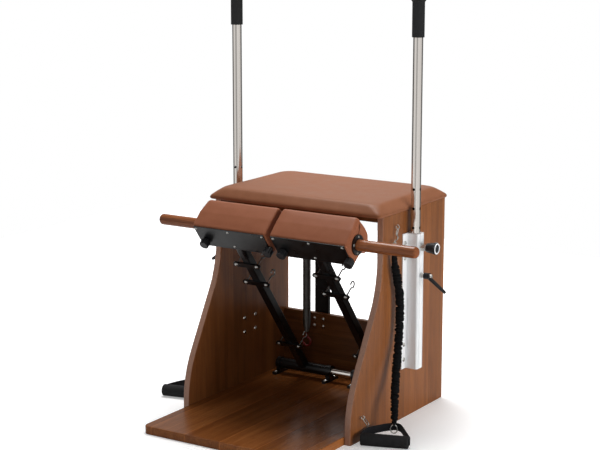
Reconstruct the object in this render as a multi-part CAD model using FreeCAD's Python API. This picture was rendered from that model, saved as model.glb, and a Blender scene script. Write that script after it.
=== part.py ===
import FreeCAD, Part
import math
import os

V = FreeCAD.Vector

# Driving dimensions, millimetres and degrees

# Shared clearances
running_gap = 0.06
free_gap = 0.3
bolt_gap = 0.1
cut_overrun = 2.0

# Wooden frame
frame_width = 568.0
frame_depth = 752.0
panel_thickness = 20.0
panel_height = 610.0
panel_depth_low = 533.0
panel_depth_top = 363.0
panel_curve_radius = 300.0
panel_curve_start_height = 490.0
panel_curve_end_height = 30.0
panel_edge_round = 2.5
base_thickness = 23.0
base_corner_radius = 20.0
base_edge_round = 3.0
seat_board_thickness = 16.0
back_panel_thickness = 18.0
back_panel_setback = 10.0
back_panel_top = 206.0

# Seat cushion
cushion_width = 576.0
cushion_depth = 401.0
cushion_rear_overhang = 10.0
cushion_corner_radius = 12.0
cushion_pull = 2.0
cushion_foot_inset = 3.0
cushion_foot_rise = 4.0
cushion_side_rise = 8.5
cushion_rim_inset = 12.5
cushion_rim_rise = 22.0
cushion_top_inset = 29.0
cushion_top_rise = 32.0
cushion_mid_inset = 90.0
cushion_mid_rise = 34.5
cushion_crown_inset = 150.0
cushion_crown_rise = 35.5
cushion_corner_gain_share = 0.6

# Axle and its brackets
axle_from_rear = 108.0
axle_height = 54.0
axle_radius = 10.0
axle_end_reach = 4.0
bracket_thickness = 14.0
bracket_inner_x = 45.0
bracket_outer_x = 225.0
bracket_foot_length = 72.0
bracket_foot_thickness = 8.0
bracket_neck_width = 27.0
bracket_hub_radius = 18.0
bracket_bolt_offset = 26.0

# Spring posts and hangers
pedal_x = 135.0
post_width = 50.0
post_thickness = 10.0
post_bottom = 150.0
post_arm_thickness = 8.0
post_arm_reach = 116.0
post_bolt_offset = 16.0
post_bolt_low = 167.0
post_bolt_high = 190.0
hanger_from_rear = 97.0
hanger_drop = 26.0
hanger_ear_thickness = 5.0
hanger_ear_offset = 12.5
hanger_ear_radius = 10.0
hanger_pin_radius = 4.0
hanger_pin_length = 36.0

# Bolts with domed heads
bolt_head_radius = 6.5
bolt_head_height = 4.0
bolt_shank_radius = 3.0
bolt_wood_depth = 14.0

# Pedal arm, in the pedal's own upright frame with the axle at its origin
arm_lean = 37.4
arm_side = 25.0
arm_wall = 2.0
arm_corner_radius = 3.0
neck_side = 30.0
neck_corner_radius = 9.0
neck_length = 48.0
sleeve_outer_radius = 16.0
bush_wall = 2.0
bush_length = 24.0
bar_heights = [127.0, 412.0, 491.0]
bar_length = 92.0
bar_height = 16.0
bar_thickness = 6.0
hook_offset = 35.0
hook_wire_radius = 2.0
hook_shank_reach = 16.0
hook_bend_radius = 6.0
hook_bend_angle = 60.0
hook_loop_radius = 9.5
hook_loop_angle = 280.0

# Pedal tray, pad and handle, in the same frame
tray_sheet = 2.5
tray_front = 21.0
tray_bottom = 566.0
tray_height = 80.0
tray_lip_depth = 32.0
tray_bend_radius = 4.0
tray_inner_x = 12.0
tray_outer_x = 250.0
pad_inner_x = 7.0
pad_outer_x = 256.0
pad_depth = 102.0
pad_height = 79.0
pad_rear_lift = 7.0
pad_crown = 2.5
pad_flat_bottom = 43.0
pad_tail_drop = 32.0
pad_tail_from_front = 73.0
pad_back_reach = 105.0
pad_back_low = 13.0
pad_back_high = 52.0
pad_corner_radius = 7.0
pad_brow_radius = 9.0
pad_back_radius = 16.0
pad_round_share = 0.8
pad_end_inset = 5.0
pad_end_shoulder_inset = 1.5
pad_end_shoulder = 3.0
pad_end_depth = 9.0
dowel_radius = 16.0
dowel_length = 309.0
dowel_back = 22.5
dowel_rise = 35.5
dowel_tip_round = 11.0
dowel_reach_right = 445.0
dowel_reach_left = 413.0
dowel_socket_depth = 236.0
flange_radius = 29.0
flange_thickness = 4.0
flange_screw_circle = 22.0
flange_screw_count = 4
flange_screw_turn = 45.0
screw_head_radius = 4.5
screw_head_height = 2.4
screw_shank_radius = 2.0
screw_depth = 14.0
tray_screw_edge_inset = 8.0
tray_screw_end_inset = 7.0
tray_screw_low_rise = 13.0
knob_radius = 13.8
knob_length = 18.5
knob_neck_radius = 9.0
knob_neck_length = 3.0
knob_flute_radius = 3.2
knob_flute_count = 9
knob_flute_bite = 1.8
knob_edge_round = 2.0
knob_stud_radius = 4.0
knob_ear_radius = 9.0
knob_offsets = [-95.0, 122.0]
knob_rise = 26.0

# Pole housings
pole_out = 20.6
pole_from_rear = 216.7
housing_bottom = 150.0
housing_top_drop = 65.0
housing_flange_width = 80.0
housing_flange_thickness = 4.0
housing_body_width = 36.0
housing_reach = 41.0
housing_body_round = 7.0
housing_root_round = 4.0
housing_groove_width = 2.5
housing_groove_depth = 1.6
housing_groove_offset = 9.5
housing_bolt_offset = 29.0
housing_bolt_end_inset = 27.0
housing_bolt_pitch = 44.0

# Poles and grips
pole_radius = 14.0
pole_wall = 2.0
pole_bottom = 330.0
pole_top = 1212.0
pole_hole_radius = 4.0
pole_hole_low = 400.0
pole_hole_pitch = 55.0
pole_hole_count = 6
grip_cap = 22.0
grip_radius = 17.5
grip_waist_length = 96.0
grip_flare_radius = 31.0
grip_flare_rise = 14.0
grip_crown_rise = 24.0
grip_crown_radius = 14.0
pole_lift_right = -4.5
pole_lift_left = 4.5

# Plungers and clamp levers
plunger_drop = 39.0
plunger_pin_radius = 4.0
plunger_nut_flats = 19.0
plunger_nut_length = 17.0
plunger_knob_radius = 18.0
plunger_knob_foot_radius = 12.5
plunger_knob_length = 32.0
plunger_knob_round = 3.0
plunger_flute_radius = 3.5
plunger_flute_count = 12
plunger_flute_bite = 1.6
lever_drop = 82.0
lever_stud_radius = 4.0
lever_collar_radius = 7.0
lever_collar_length = 10.0
lever_hub_radius = 9.0
lever_hub_length = 18.0
lever_cap_radius = 5.5
lever_cap_length = 5.0
lever_arm_out = 56.0
lever_arm_drop = 40.0
lever_arm_root_radius = 6.0
lever_arm_tip_radius = 4.5

# Spring sets
coil_radius = 11.4
coil_wire_radius = 1.5
coil_turns = 25
coil_drop = 22.0
coil_end_bend_radius = 3.2
coil_end_run = 2.8
head_radius = 13.2
head_thickness = 6.0
head_tab_width = 14.0
head_tab_radius = 9.0
foot_cone_height = 28.0
foot_end_radius = 5.5
ring_stem_radius = 4.5
ring_rise = 110.0
ring_drop = 29.0
ring_radius = 13.5
ring_wire_radius = 3.2

# Cords with their eyes, clips, rings, straps and hand grips
eye_radius = 5.2
eye_wire_radius = 1.3
eye_out = 9.5
eye_shank_depth = 15.0
upper_eye_from_rear = 300.0
upper_eye_height = 574.0
lower_eye_from_rear = 482.0
lower_eye_height = 70.0
clip_wire_radius = 1.2
clip_half_width = 7.5
clip_seat_gap = 0.5
upper_clip_run_right = V(4.0, -29.0, -42.0)
upper_clip_run_left = V(4.0, -10.0, -44.0)
lower_clip_run = V(10.0, 14.0, -25.0)
cord_radius = 11.0
cord_cup_radius = 9.6
cord_neck_radius = 6.0
cord_arc_share = 0.45
# Cord routes: sideways from the middle, forward from the rear plane, up from the floor
cord_route_right = [
    V(300, 329, 512), V(300, 329, 478), V(302, 314, 434), V(304, 300, 375), V(305, 302, 300),
    V(309, 319, 214), V(324, 358, 134), V(346, 399, 73), V(346, 399, 42),
]
cord_route_left = [
    V(-300, 310, 512), V(-300, 310, 478), V(-302, 318, 430), V(-304, 328, 375), V(-306, 326, 300),
    V(-311, 312, 214), V(-320, 288, 130), V(-333, 268, 75), V(-333, 268, 42),
]
loop_ring_radius = 10.2
loop_ring_wire_radius = 1.3
loop_ring_height = 17.5
hand_grip_radius = 17.5
hand_grip_bore = 7.9
hand_grip_round = 3.0
hand_grip_right_ends = [V(302, 508, 17.5), V(428, 464.5, 17.5)]
hand_grip_left_ends = [V(-301, 409, 17.5), V(-429, 439, 17.5)]
strap_thickness = 2.4
strap_width = 15.0
strap_overhang = 5.0
strap_turn_radius = 3.0
strap_apex_radius = 4.0
strap_ring_gap = 0.25

# Values that follow from the driving dimensions
rear_y = frame_depth / 2
front_y = -frame_depth / 2
panel_outer_x = frame_width / 2
panel_inner_x = panel_outer_x - panel_thickness
axle_y = rear_y - axle_from_rear
seat_board_bottom = panel_height - seat_board_thickness
back_panel_rear_y = rear_y - back_panel_setback
back_panel_front_y = back_panel_rear_y - back_panel_thickness
hanger_y = rear_y - hanger_from_rear
hanger_height = seat_board_bottom - hanger_drop
coil_top = hanger_height - coil_drop
ring_height = base_thickness + ring_rise
coil_bottom = ring_height + ring_drop + foot_cone_height
post_arm_bottom = seat_board_bottom - post_arm_thickness
housing_top = panel_height - housing_top_drop
plunger_height = housing_top - plunger_drop
lever_height = plunger_height - lever_drop
pole_x = panel_outer_x + pole_out
pole_y = rear_y - pole_from_rear
grip_top = pole_top + grip_cap
grip_flare_height = grip_top - grip_crown_rise
grip_waist_top = grip_flare_height - grip_flare_rise
grip_bottom = grip_waist_top - grip_waist_length
housing_face_x = panel_outer_x + housing_reach
sleeve_half = (bracket_outer_x - bracket_inner_x - bracket_thickness) / 2 - free_gap
sleeve_bore_radius = axle_radius + running_gap + bush_wall
arm_half = arm_side / 2
tray_face = -tray_front - tray_sheet
pad_bottom = tray_bottom + tray_sheet
dowel_height = pad_bottom + dowel_rise
pad_top = pad_bottom + pad_height
pad_middle_x = (pad_inner_x + pad_outer_x) / 2
knob_stud_depth = tray_sheet - free_gap


# Shared shapes

def box(x0, x1, y0, y1, z0, z1):
    return Part.makeBox(x1 - x0, y1 - y0, z1 - z0, V(x0, y0, z0))


def rod(start, end, radius):
    run = end - start
    return Part.makeCylinder(radius, run.Length, start, run)


def mirrored(shape):
    return shape.mirror(V(0, 0, 0), V(1, 0, 0))


def both_sides(shape):
    return [shape, mirrored(shape)]


def unit(vector):
    return V(vector).normalize()


def extruded(wire, run):
    return Part.Face(wire).extrude(run)


def corner(before, point, after, radius):
    """Start, middle and end of the arc that rounds one corner of an outline."""
    into = unit(point - before)
    out = unit(after - point)
    half_turn = into.getAngle(out) / 2
    inward = unit(out - into)
    set_back = radius * math.tan(half_turn)
    crest = radius / math.cos(half_turn) - radius
    return point - into * set_back, point + inward * crest, point + out * set_back


def rounded_outline(points, radii):
    """Closed wire through the points, each corner rounded by its own radius."""
    arcs = []
    for i, radius in enumerate(radii):
        arcs.append(corner(points[i - 1], points[i], points[(i + 1) % len(points)], radius))
    edges = []
    for i, arc in enumerate(arcs):
        edges.append(Part.Arc(*arc).toShape())
        edges.append(Part.makeLine(arc[2], arcs[(i + 1) % len(arcs)][0]))
    return Part.Wire(edges)


def rounded_bar(across, half_x, half_y, z0, z1, radius):
    """Upright bar of rounded rectangular section about a centre point."""
    points = [
        V(across.x - half_x, across.y - half_y, z0), V(across.x + half_x, across.y - half_y, z0),
        V(across.x + half_x, across.y + half_y, z0), V(across.x - half_x, across.y + half_y, z0),
    ]
    return extruded(rounded_outline(points, [radius] * len(points)), V(0, 0, z1 - z0))


def tube_along(edges, radius):
    """Round bar along a chain of edges, started square to the first one."""
    path = Part.Wire(edges)
    first = edges[0]
    start = first.valueAt(first.FirstParameter)
    heading = first.tangentAt(first.FirstParameter)
    shell = Part.BRepOffsetAPI.MakePipeShell(path)
    shell.add(Part.Wire(Part.makeCircle(radius, start, heading)))
    shell.build()
    shell.makeSolid()
    return shell.shape()


def hex_bar(start, run, flats):
    """Six-sided bar from a start point along a run on the X axis."""
    corner_radius = flats / math.sqrt(3)
    turns = [math.radians(60 * i) for i in range(7)]
    points = [start + V(0, corner_radius * math.cos(t), corner_radius * math.sin(t)) for t in turns]
    return extruded(Part.makePolygon(points), run)


def domed_head(seat, out, radius, height):
    """Low round head that sits on a face and crowns outward."""
    sphere_radius = (radius ** 2 + height ** 2) / (2 * height)
    ball = Part.makeSphere(sphere_radius, seat + out * (height - sphere_radius))
    return ball.common(Part.makeCylinder(radius, height, seat, out))


def domed_bolt(seat, out, depth):
    """Bolt whose head sits on a face and whose shank runs inward."""
    head = domed_head(seat, out, bolt_head_radius, bolt_head_height)
    return head.fuse(rod(seat - out * depth, seat, bolt_shank_radius))


def small_screw(seat, out):
    head = domed_head(seat, out, screw_head_radius, screw_head_height)
    return head.fuse(rod(seat - out * screw_depth, seat, screw_shank_radius))


def fluted(body, foot, axis, length, radius, flute_radius, count, bite):
    """Cut finger flutes into a round knob body."""
    side = unit(axis.cross(V(0, 0, 1)) if abs(axis.z) < math.cos(math.radians(45)) else V(1, 0, 0))
    flutes = []
    for i in range(count):
        spoke = FreeCAD.Rotation(axis, 360 * i / count).multVec(side)
        centre = foot + spoke * (radius + flute_radius - bite) - axis * cut_overrun
        flutes.append(Part.makeCylinder(flute_radius, length + 2 * cut_overrun, centre, axis))
    return body.cut(flutes)


def in_pedal(shape):
    """Lean a piece from the pedal's upright frame into the chair."""
    placed = shape.copy()
    placed.Placement = FreeCAD.Placement(V(0, axle_y, axle_height), FreeCAD.Rotation(V(1, 0, 0), arm_lean))
    return placed


def save(name, shapes):
    solids = [solid for shape in shapes for solid in shape.Solids]
    Part.makeCompound(solids).exportStep("parts/" + name + ".step")


def save_sides(name, shape):
    save(name + "_right", [shape])
    save(name + "_left", [mirrored(shape)])


# Wooden frame

def front_curve():
    """Front edge of a side panel: two equal arcs with a straight lean between them."""
    top = V(0, rear_y - panel_depth_top, panel_curve_start_height)
    low = V(0, rear_y - panel_depth_low, panel_curve_end_height)
    shift = top.y - low.y
    drop = top.z - low.z
    span = 2 * panel_curve_radius
    straight = math.sqrt((span - shift) ** 2 + drop ** 2 - span ** 2)
    turn = math.atan2(drop, span - shift) - math.atan2(straight, span)

    def step(angle):
        return V(0, panel_curve_radius * (1 - math.cos(angle)), panel_curve_radius * math.sin(angle))

    upper = [V(0, top.y - step(a).y, top.z - step(a).z) for a in (turn / 2, turn)]
    lower = [low + step(a) for a in (turn, turn / 2)]
    return [
        Part.Arc(top, upper[0], upper[1]).toShape(),
        Part.makeLine(upper[1], lower[0]),
        Part.Arc(lower[0], lower[1], low).toShape(),
    ]


def side_panel():
    curve = front_curve()
    top = V(0, rear_y - panel_depth_top, panel_curve_start_height)
    low = V(0, rear_y - panel_depth_low, panel_curve_end_height)
    crest = V(0, top.y, panel_height)
    toe = V(0, low.y, 0)
    heel = V(0, rear_y, 0)
    shoulder = V(0, rear_y, panel_height)
    edges = [Part.makeLine(crest, top)] + curve + [
        Part.makeLine(low, toe), Part.makeLine(toe, heel),
        Part.makeLine(heel, shoulder), Part.makeLine(shoulder, crest),
    ]
    panel = extruded(Part.Wire(edges), V(panel_thickness, 0, 0))
    panel.translate(V(panel_inner_x, 0, 0))
    rims = [e for e in panel.Edges if e.BoundBox.XLength < cut_overrun and e.BoundBox.ZMax > cut_overrun]
    panel = panel.makeFillet(panel_edge_round, rims)
    return panel.cut(panel_holes())


def housing_bolt_places():
    heights = [housing_bottom + housing_bolt_end_inset, housing_top - housing_bolt_end_inset]
    heights += [heights[0] + housing_bolt_pitch, heights[1] - housing_bolt_pitch]
    offsets = [-housing_bolt_offset, housing_bolt_offset]
    return [V(0, pole_y + y, z) for z in heights for y in offsets]


def eye_places():
    return [
        V(panel_outer_x, rear_y - upper_eye_from_rear, upper_eye_height),
        V(panel_outer_x, rear_y - lower_eye_from_rear, lower_eye_height),
    ]


def panel_holes():
    reach = V(panel_thickness + 2 * cut_overrun, 0, 0)
    start = V(panel_inner_x - cut_overrun, 0, 0)
    holes = [rod(start + p, start + p + reach, bolt_shank_radius + bolt_gap) for p in housing_bolt_places()]
    for place in eye_places():
        holes.append(rod(place - V(eye_shank_depth, 0, 0), place + V(cut_overrun, 0, 0),
                         eye_wire_radius + bolt_gap))
    return holes


def bracket_bolt_places():
    xs = [bracket_inner_x, bracket_outer_x]
    places = [V(x, axle_y + s * bracket_bolt_offset, 0) for x in xs for s in (-1, 1)]
    return places + [V(-p.x, p.y, p.z) for p in places]


def base_board():
    points = [
        V(-panel_inner_x, front_y, 0), V(panel_inner_x, front_y, 0),
        V(panel_inner_x, rear_y, 0), V(-panel_inner_x, rear_y, 0),
    ]
    front = rounded_outline(points[:2] + [points[2], points[3]],
                            [base_corner_radius, base_corner_radius, base_edge_round, base_edge_round])
    board = extruded(front, V(0, 0, base_thickness))
    top_front = [e for e in board.Edges
                 if e.BoundBox.ZMin > base_thickness / 2
                 and e.BoundBox.YMax < front_y + 2 * base_corner_radius]
    board = board.makeFillet(base_edge_round, top_front)
    seat = V(0, 0, base_thickness - bolt_wood_depth)
    top = V(0, 0, base_thickness + cut_overrun)
    return board.cut([rod(p + seat, p + top, bolt_shank_radius + bolt_gap) for p in bracket_bolt_places()])


def post_bolt_places():
    xs = [pedal_x - post_bolt_offset, pedal_x + post_bolt_offset]
    places = [V(x, back_panel_front_y, z) for x in xs for z in (post_bolt_low, post_bolt_high)]
    return places + [V(-p.x, p.y, p.z) for p in places]


def post_bolt_holes():
    start = V(0, -cut_overrun, 0)
    reach = V(0, back_panel_thickness + back_panel_setback + cut_overrun, 0)
    return [rod(p + start, p + reach, bolt_shank_radius + bolt_gap) for p in post_bolt_places()]


def back_panel():
    board = box(-panel_inner_x, panel_inner_x, back_panel_front_y, back_panel_rear_y,
                base_thickness, back_panel_top)
    top = [e for e in board.Edges if e.BoundBox.ZMin > back_panel_top - cut_overrun
           and e.BoundBox.XLength > panel_inner_x]
    return board.makeFillet(panel_edge_round, top).cut(post_bolt_holes())


def seat_board():
    return box(-panel_inner_x, panel_inner_x, rear_y - panel_depth_top, rear_y,
               seat_board_bottom, panel_height)


# Seat cushion

def cushion_section(inset, rise):
    """One level of the cushion: corners rounder the further in it is, and sides drawn in between them."""
    half_x = cushion_width / 2 - inset
    rear = rear_y + cushion_rear_overhang - inset
    front = rear_y + cushion_rear_overhang - cushion_depth + inset
    z = panel_height + rise
    middle = (rear + front) / 2
    radius = min(cushion_corner_radius + inset * cushion_corner_gain_share, (rear - front) / 2 - cushion_corner_radius)
    points = [V(-half_x, front, z), V(half_x, front, z), V(half_x, rear, z), V(-half_x, rear, z)]
    mids = [V(0, front + cushion_pull, z), V(half_x - cushion_pull, middle, z),
            V(0, rear - cushion_pull, z), V(-half_x + cushion_pull, middle, z)]
    arcs = [corner(points[i - 1], points[i], points[(i + 1) % len(points)], radius)
            for i in range(len(points))]
    edges = []
    for i, arc in enumerate(arcs):
        edges.append(Part.Arc(*arc).toShape())
        edges.append(Part.Arc(arc[2], mids[i], arcs[(i + 1) % len(arcs)][0]).toShape())
    return Part.Wire(edges)


def seat_cushion():
    levels = [
        (cushion_foot_inset, 0), (0, cushion_foot_rise), (0, cushion_side_rise),
        (cushion_rim_inset, cushion_rim_rise), (cushion_top_inset, cushion_top_rise),
        (cushion_mid_inset, cushion_mid_rise), (cushion_crown_inset, cushion_crown_rise),
    ]
    return Part.makeLoft([cushion_section(*level) for level in levels], True, True)


# Axle, brackets and frame bolts

def pivot_axle():
    half = bracket_outer_x + bracket_thickness / 2 + axle_end_reach
    return rod(V(-half, axle_y, axle_height), V(half, axle_y, axle_height), axle_radius)


def axle_bracket(x):
    x0 = x - bracket_thickness / 2
    x1 = x + bracket_thickness / 2
    foot_half = bracket_foot_length / 2
    neck_half = bracket_neck_width / 2
    centre = V(x0, axle_y, axle_height)
    width = V(bracket_thickness, 0, 0)
    foot = box(x0, x1, axle_y - foot_half, axle_y + foot_half,
               base_thickness, base_thickness + bracket_foot_thickness)
    neck = box(x0, x1, axle_y - neck_half, axle_y + neck_half, base_thickness, axle_height)
    solid = foot.fuse([neck, rod(centre, centre + width, bracket_hub_radius)]).removeSplitter()
    cuts = [rod(centre - width, centre + width * 2, axle_radius + running_gap)]
    floor = V(0, 0, base_thickness - cut_overrun)
    top = V(0, 0, base_thickness + bracket_foot_thickness + cut_overrun)
    for place in bracket_bolt_places():
        cuts.append(rod(place + floor, place + top, bolt_shank_radius + bolt_gap))
    return solid.cut(cuts)


def frame_bolts():
    seat = V(0, 0, base_thickness + bracket_foot_thickness)
    bolts = [domed_bolt(p + seat, V(0, 0, 1), bracket_foot_thickness + bolt_wood_depth - cut_overrun)
             for p in bracket_bolt_places()]
    depth = back_panel_thickness + post_thickness
    return bolts + [domed_bolt(p, V(0, -1, 0), depth) for p in post_bolt_places()]


# Spring posts

def spring_post():
    x0 = pedal_x - post_width / 2
    x1 = pedal_x + post_width / 2
    upright = box(x0, x1, rear_y - post_thickness, rear_y, post_bottom, seat_board_bottom)
    arm = box(x0, x1, rear_y - post_arm_reach, rear_y, post_arm_bottom, seat_board_bottom)
    pieces = [arm]
    cuts = post_bolt_holes()
    for side in (-1, 1):
        centre = pedal_x + side * hanger_ear_offset
        e0 = centre - hanger_ear_thickness / 2
        e1 = centre + hanger_ear_thickness / 2
        pieces.append(box(e0, e1, hanger_y - hanger_ear_radius, hanger_y + hanger_ear_radius,
                          hanger_height, post_arm_bottom))
        pieces.append(rod(V(e0, hanger_y, hanger_height), V(e1, hanger_y, hanger_height), hanger_ear_radius))
        cut_start = V(e0 - cut_overrun, hanger_y, hanger_height)
        cut_end = V(e1 + cut_overrun, hanger_y, hanger_height)
        cuts.append(rod(cut_start, cut_end, hanger_pin_radius + running_gap))
    return upright.fuse(pieces).removeSplitter().cut(cuts)


def hanger_pin():
    half = V(hanger_pin_length / 2, 0, 0)
    centre = V(pedal_x, hanger_y, hanger_height)
    return rod(centre - half, centre + half, hanger_pin_radius)


# Spring sets

def biarc(p0, t0, p1, t1):
    """Two tangent arcs from one point and heading to another."""
    span = p1 - p0
    along = span.dot(t0 + t1)
    spread = 2 * (1 - t0.dot(t1))
    reach = (math.sqrt(along ** 2 + spread * span.dot(span)) - along) / spread
    q0 = p0 + t0 * reach
    q1 = p1 - t1 * reach
    joint = (q0 + q1) / 2
    arcs = []
    for start, apex, end in ((p0, q0, joint), (joint, q1, p1)):
        turn = (apex - start).getAngle(end - apex)
        chord_middle = (start + end) / 2
        lift = math.tan(turn / 4) / math.tan(turn / 2)
        arcs.append(Part.Arc(start, chord_middle + (apex - chord_middle) * lift, end).toShape())
    return arcs


def coil(x):
    """One unbroken wound wire with a short straight end square to each fitting."""
    lead = math.atan2(coil_top - coil_bottom, 2 * math.pi * coil_radius * coil_turns)
    for _ in range(4):
        bend = math.pi / 2 - lead
        end_height = coil_end_run + coil_end_bend_radius * math.sin(bend)
        wound = coil_top - coil_bottom - 2 * end_height
        lead = math.atan2(wound, 2 * math.pi * coil_radius * coil_turns)
    start = coil_top - end_height

    def at(quarters):
        angle = math.pi / 2 * quarters
        height = start - wound * quarters / (4 * coil_turns)
        point = V(x + coil_radius * math.cos(angle), hanger_y + coil_radius * math.sin(angle), height)
        heading = V(-math.cos(lead) * math.sin(angle), math.cos(lead) * math.cos(angle), -math.sin(lead))
        return point, heading

    first = at(0)[0]
    last = at(4 * coil_turns)[0]
    set_back = coil_end_bend_radius * (1 - math.cos(bend))
    half_back = coil_end_bend_radius * (1 - math.cos(bend / 2))
    fall = coil_end_bend_radius * math.sin(bend)
    half_fall = coil_end_bend_radius * math.sin(bend / 2)
    entry = first + V(0, -set_back, fall)
    entry_mid = entry + V(0, half_back, -half_fall)
    leave = last + V(0, set_back, -fall)
    leave_mid = leave + V(0, -half_back, half_fall)
    edges = [Part.makeLine(V(entry.x, entry.y, coil_top), entry)]
    edges.append(Part.Arc(entry, entry_mid, first).toShape())
    for quarter in range(4 * coil_turns):
        edges += biarc(*at(quarter), *at(quarter + 1))
    edges.append(Part.Arc(last, leave_mid, leave).toShape())
    edges.append(Part.makeLine(leave, V(leave.x, leave.y, coil_bottom)))
    report_coil(edges)
    return tube_along(edges, coil_wire_radius)


def report_coil(edges):
    """Print the least gap between windings, measured on points along the wire."""
    points = []
    travelled = []
    length = 0
    for edge in edges:
        for share in (0.0, 0.5):
            span = edge.LastParameter - edge.FirstParameter
            points.append(edge.valueAt(edge.FirstParameter + share * span))
            travelled.append(length + share * edge.Length)
        length += edge.Length
    apart = math.pi * coil_radius
    least = min((points[i] - points[j]).Length for i in range(len(points)) for j in range(i)
                if travelled[i] - travelled[j] > apart)
    print("coil: wire length %.1f, least self gap %.2f" % (length, least - 2 * coil_wire_radius))


def spring_coils():
    """Disc and tab on the hanger pin, the wound wire, and a cone that closes its lower end."""
    tab_half = head_tab_width / 2
    head_base = V(pedal_x, hanger_y, coil_top)
    disc = rod(head_base, head_base + V(0, 0, head_thickness), head_radius)
    tab = box(pedal_x - tab_half, pedal_x + tab_half, hanger_y - head_tab_radius,
              hanger_y + head_tab_radius, coil_top, hanger_height)
    start = V(pedal_x - tab_half, hanger_y, hanger_height)
    end = V(pedal_x + tab_half, hanger_y, hanger_height)
    over = V(cut_overrun, 0, 0)
    head = disc.fuse([tab, rod(start, end, head_tab_radius)]).removeSplitter()
    head = head.cut(rod(start - over, end + over, hanger_pin_radius + running_gap))
    foot_base = V(pedal_x, hanger_y, coil_bottom)
    foot = Part.makeCone(head_radius, foot_end_radius, foot_cone_height, foot_base, V(0, 0, -1))
    return Part.makeCompound([head, coil(pedal_x), foot])


def spring_ring():
    centre = V(pedal_x, hanger_y, ring_height)
    ring = Part.makeTorus(ring_radius, ring_wire_radius, centre, V(0, 1, 0))
    stem_end = V(pedal_x, hanger_y, coil_bottom - foot_cone_height)
    stem = rod(centre + V(0, 0, ring_radius), stem_end, ring_stem_radius)
    return ring.fuse(stem)


# Pedal arm with its hooks

def pedal_arm():
    half = V(sleeve_half, 0, 0)
    centre = V(pedal_x, 0, 0)
    over = V(cut_overrun, 0, 0)
    tube = rounded_bar(centre, arm_half, arm_half, 0, tray_bottom, arm_corner_radius)
    neck = rounded_bar(centre, neck_side / 2, neck_side / 2, tray_bottom - neck_length, tray_bottom,
                       neck_corner_radius)
    sleeve = rod(centre - half, centre + half, sleeve_outer_radius)
    inner = arm_half - arm_wall
    hollow = box(pedal_x - inner, pedal_x + inner, -inner, inner, sleeve_outer_radius, tray_bottom + cut_overrun)
    bore = rod(centre - half - over, centre + half + over, sleeve_bore_radius)
    return tube.fuse([neck, sleeve]).removeSplitter().cut([hollow, bore])


def pivot_bushes():
    rings = []
    for side in (-1, 1):
        outer = V(pedal_x + side * sleeve_half, 0, 0)
        inner = outer - V(side * bush_length, 0, 0)
        over = V(side * cut_overrun, 0, 0)
        rings.append(rod(inner, outer, sleeve_bore_radius).cut(
            rod(inner - over, outer + over, axle_radius + running_gap)))
    return Part.makeCompound(rings)


def hook_places():
    return [V(pedal_x + side * hook_offset, -arm_half - bar_thickness, z) for z in bar_heights for side in (-1, 1)]


def hook_bars():
    over = V(0, cut_overrun, 0)
    through = V(0, bar_thickness, 0)
    holes = [rod(p - over, p + through + over, hook_wire_radius + bolt_gap) for p in hook_places()]
    bars = []
    half = bar_length / 2 - bar_height / 2
    for z in bar_heights:
        left = V(pedal_x - half, -arm_half - bar_thickness, z)
        right = V(pedal_x + half, -arm_half - bar_thickness, z)
        middle = box(left.x, right.x, left.y, -arm_half, z - bar_height / 2, z + bar_height / 2)
        ends = [rod(left, left + through, bar_height / 2), rod(right, right + through, bar_height / 2)]
        bars.append(middle.fuse(ends).removeSplitter().cut(holes))
    return Part.makeCompound(bars)


def spring_hook(place):
    """Domed bolt on the bar's face whose shank runs back and curls into an open hook."""
    bend_centre = place + V(0, arm_half + bar_thickness + hook_shank_reach, -hook_bend_radius)
    bend_end = math.radians(hook_bend_angle)
    loop_turn = math.radians(hook_loop_angle)

    def on_bend(angle):
        return bend_centre + V(0, math.sin(angle), math.cos(angle)) * hook_bend_radius

    loop_spoke = V(0, math.sin(bend_end), math.cos(bend_end))
    loop_centre = bend_centre + loop_spoke * (hook_bend_radius + hook_loop_radius)

    def on_loop(angle):
        return loop_centre - V(0, math.sin(bend_end - angle), math.cos(bend_end - angle)) * hook_loop_radius

    edges = [
        Part.makeLine(place, on_bend(0)),
        Part.Arc(on_bend(0), on_bend(bend_end / 2), on_bend(bend_end)).toShape(),
        Part.Arc(on_loop(0), on_loop(loop_turn / 4), on_loop(loop_turn / 2)).toShape(),
        Part.Arc(on_loop(loop_turn / 2), on_loop(3 * loop_turn / 4), on_loop(loop_turn)).toShape(),
    ]
    head = domed_head(place, V(0, -1, 0), bolt_head_radius, bolt_head_height)
    tip = Part.makeSphere(hook_wire_radius, on_loop(loop_turn))
    return tube_along(edges, hook_wire_radius).fuse([head, tip])


# Pedal tray, pad, handle and screws

def tray_screw_places():
    high = tray_bottom + tray_height - tray_screw_edge_inset
    xs = [tray_inner_x + tray_screw_end_inset, pedal_x, tray_outer_x - tray_screw_end_inset]
    return [V(x, tray_face, high) for x in xs] + [V(pedal_x, tray_face, tray_bottom + tray_screw_low_rise)]


def knob_places(side):
    """Inner and outer knob of one pedal; both pedals carry them alike, not mirrored."""
    xs = sorted(pad_middle_x + side * offset for offset in knob_offsets)
    return [V(x, tray_face, tray_bottom + knob_rise) for x in xs]


def screw_holes():
    """Holes for the screws through the tray and into the pad."""
    over = V(0, cut_overrun, 0)
    return [rod(p - over, p + V(0, screw_depth, 0) + over, screw_shank_radius + bolt_gap)
            for p in tray_screw_places()]


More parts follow.
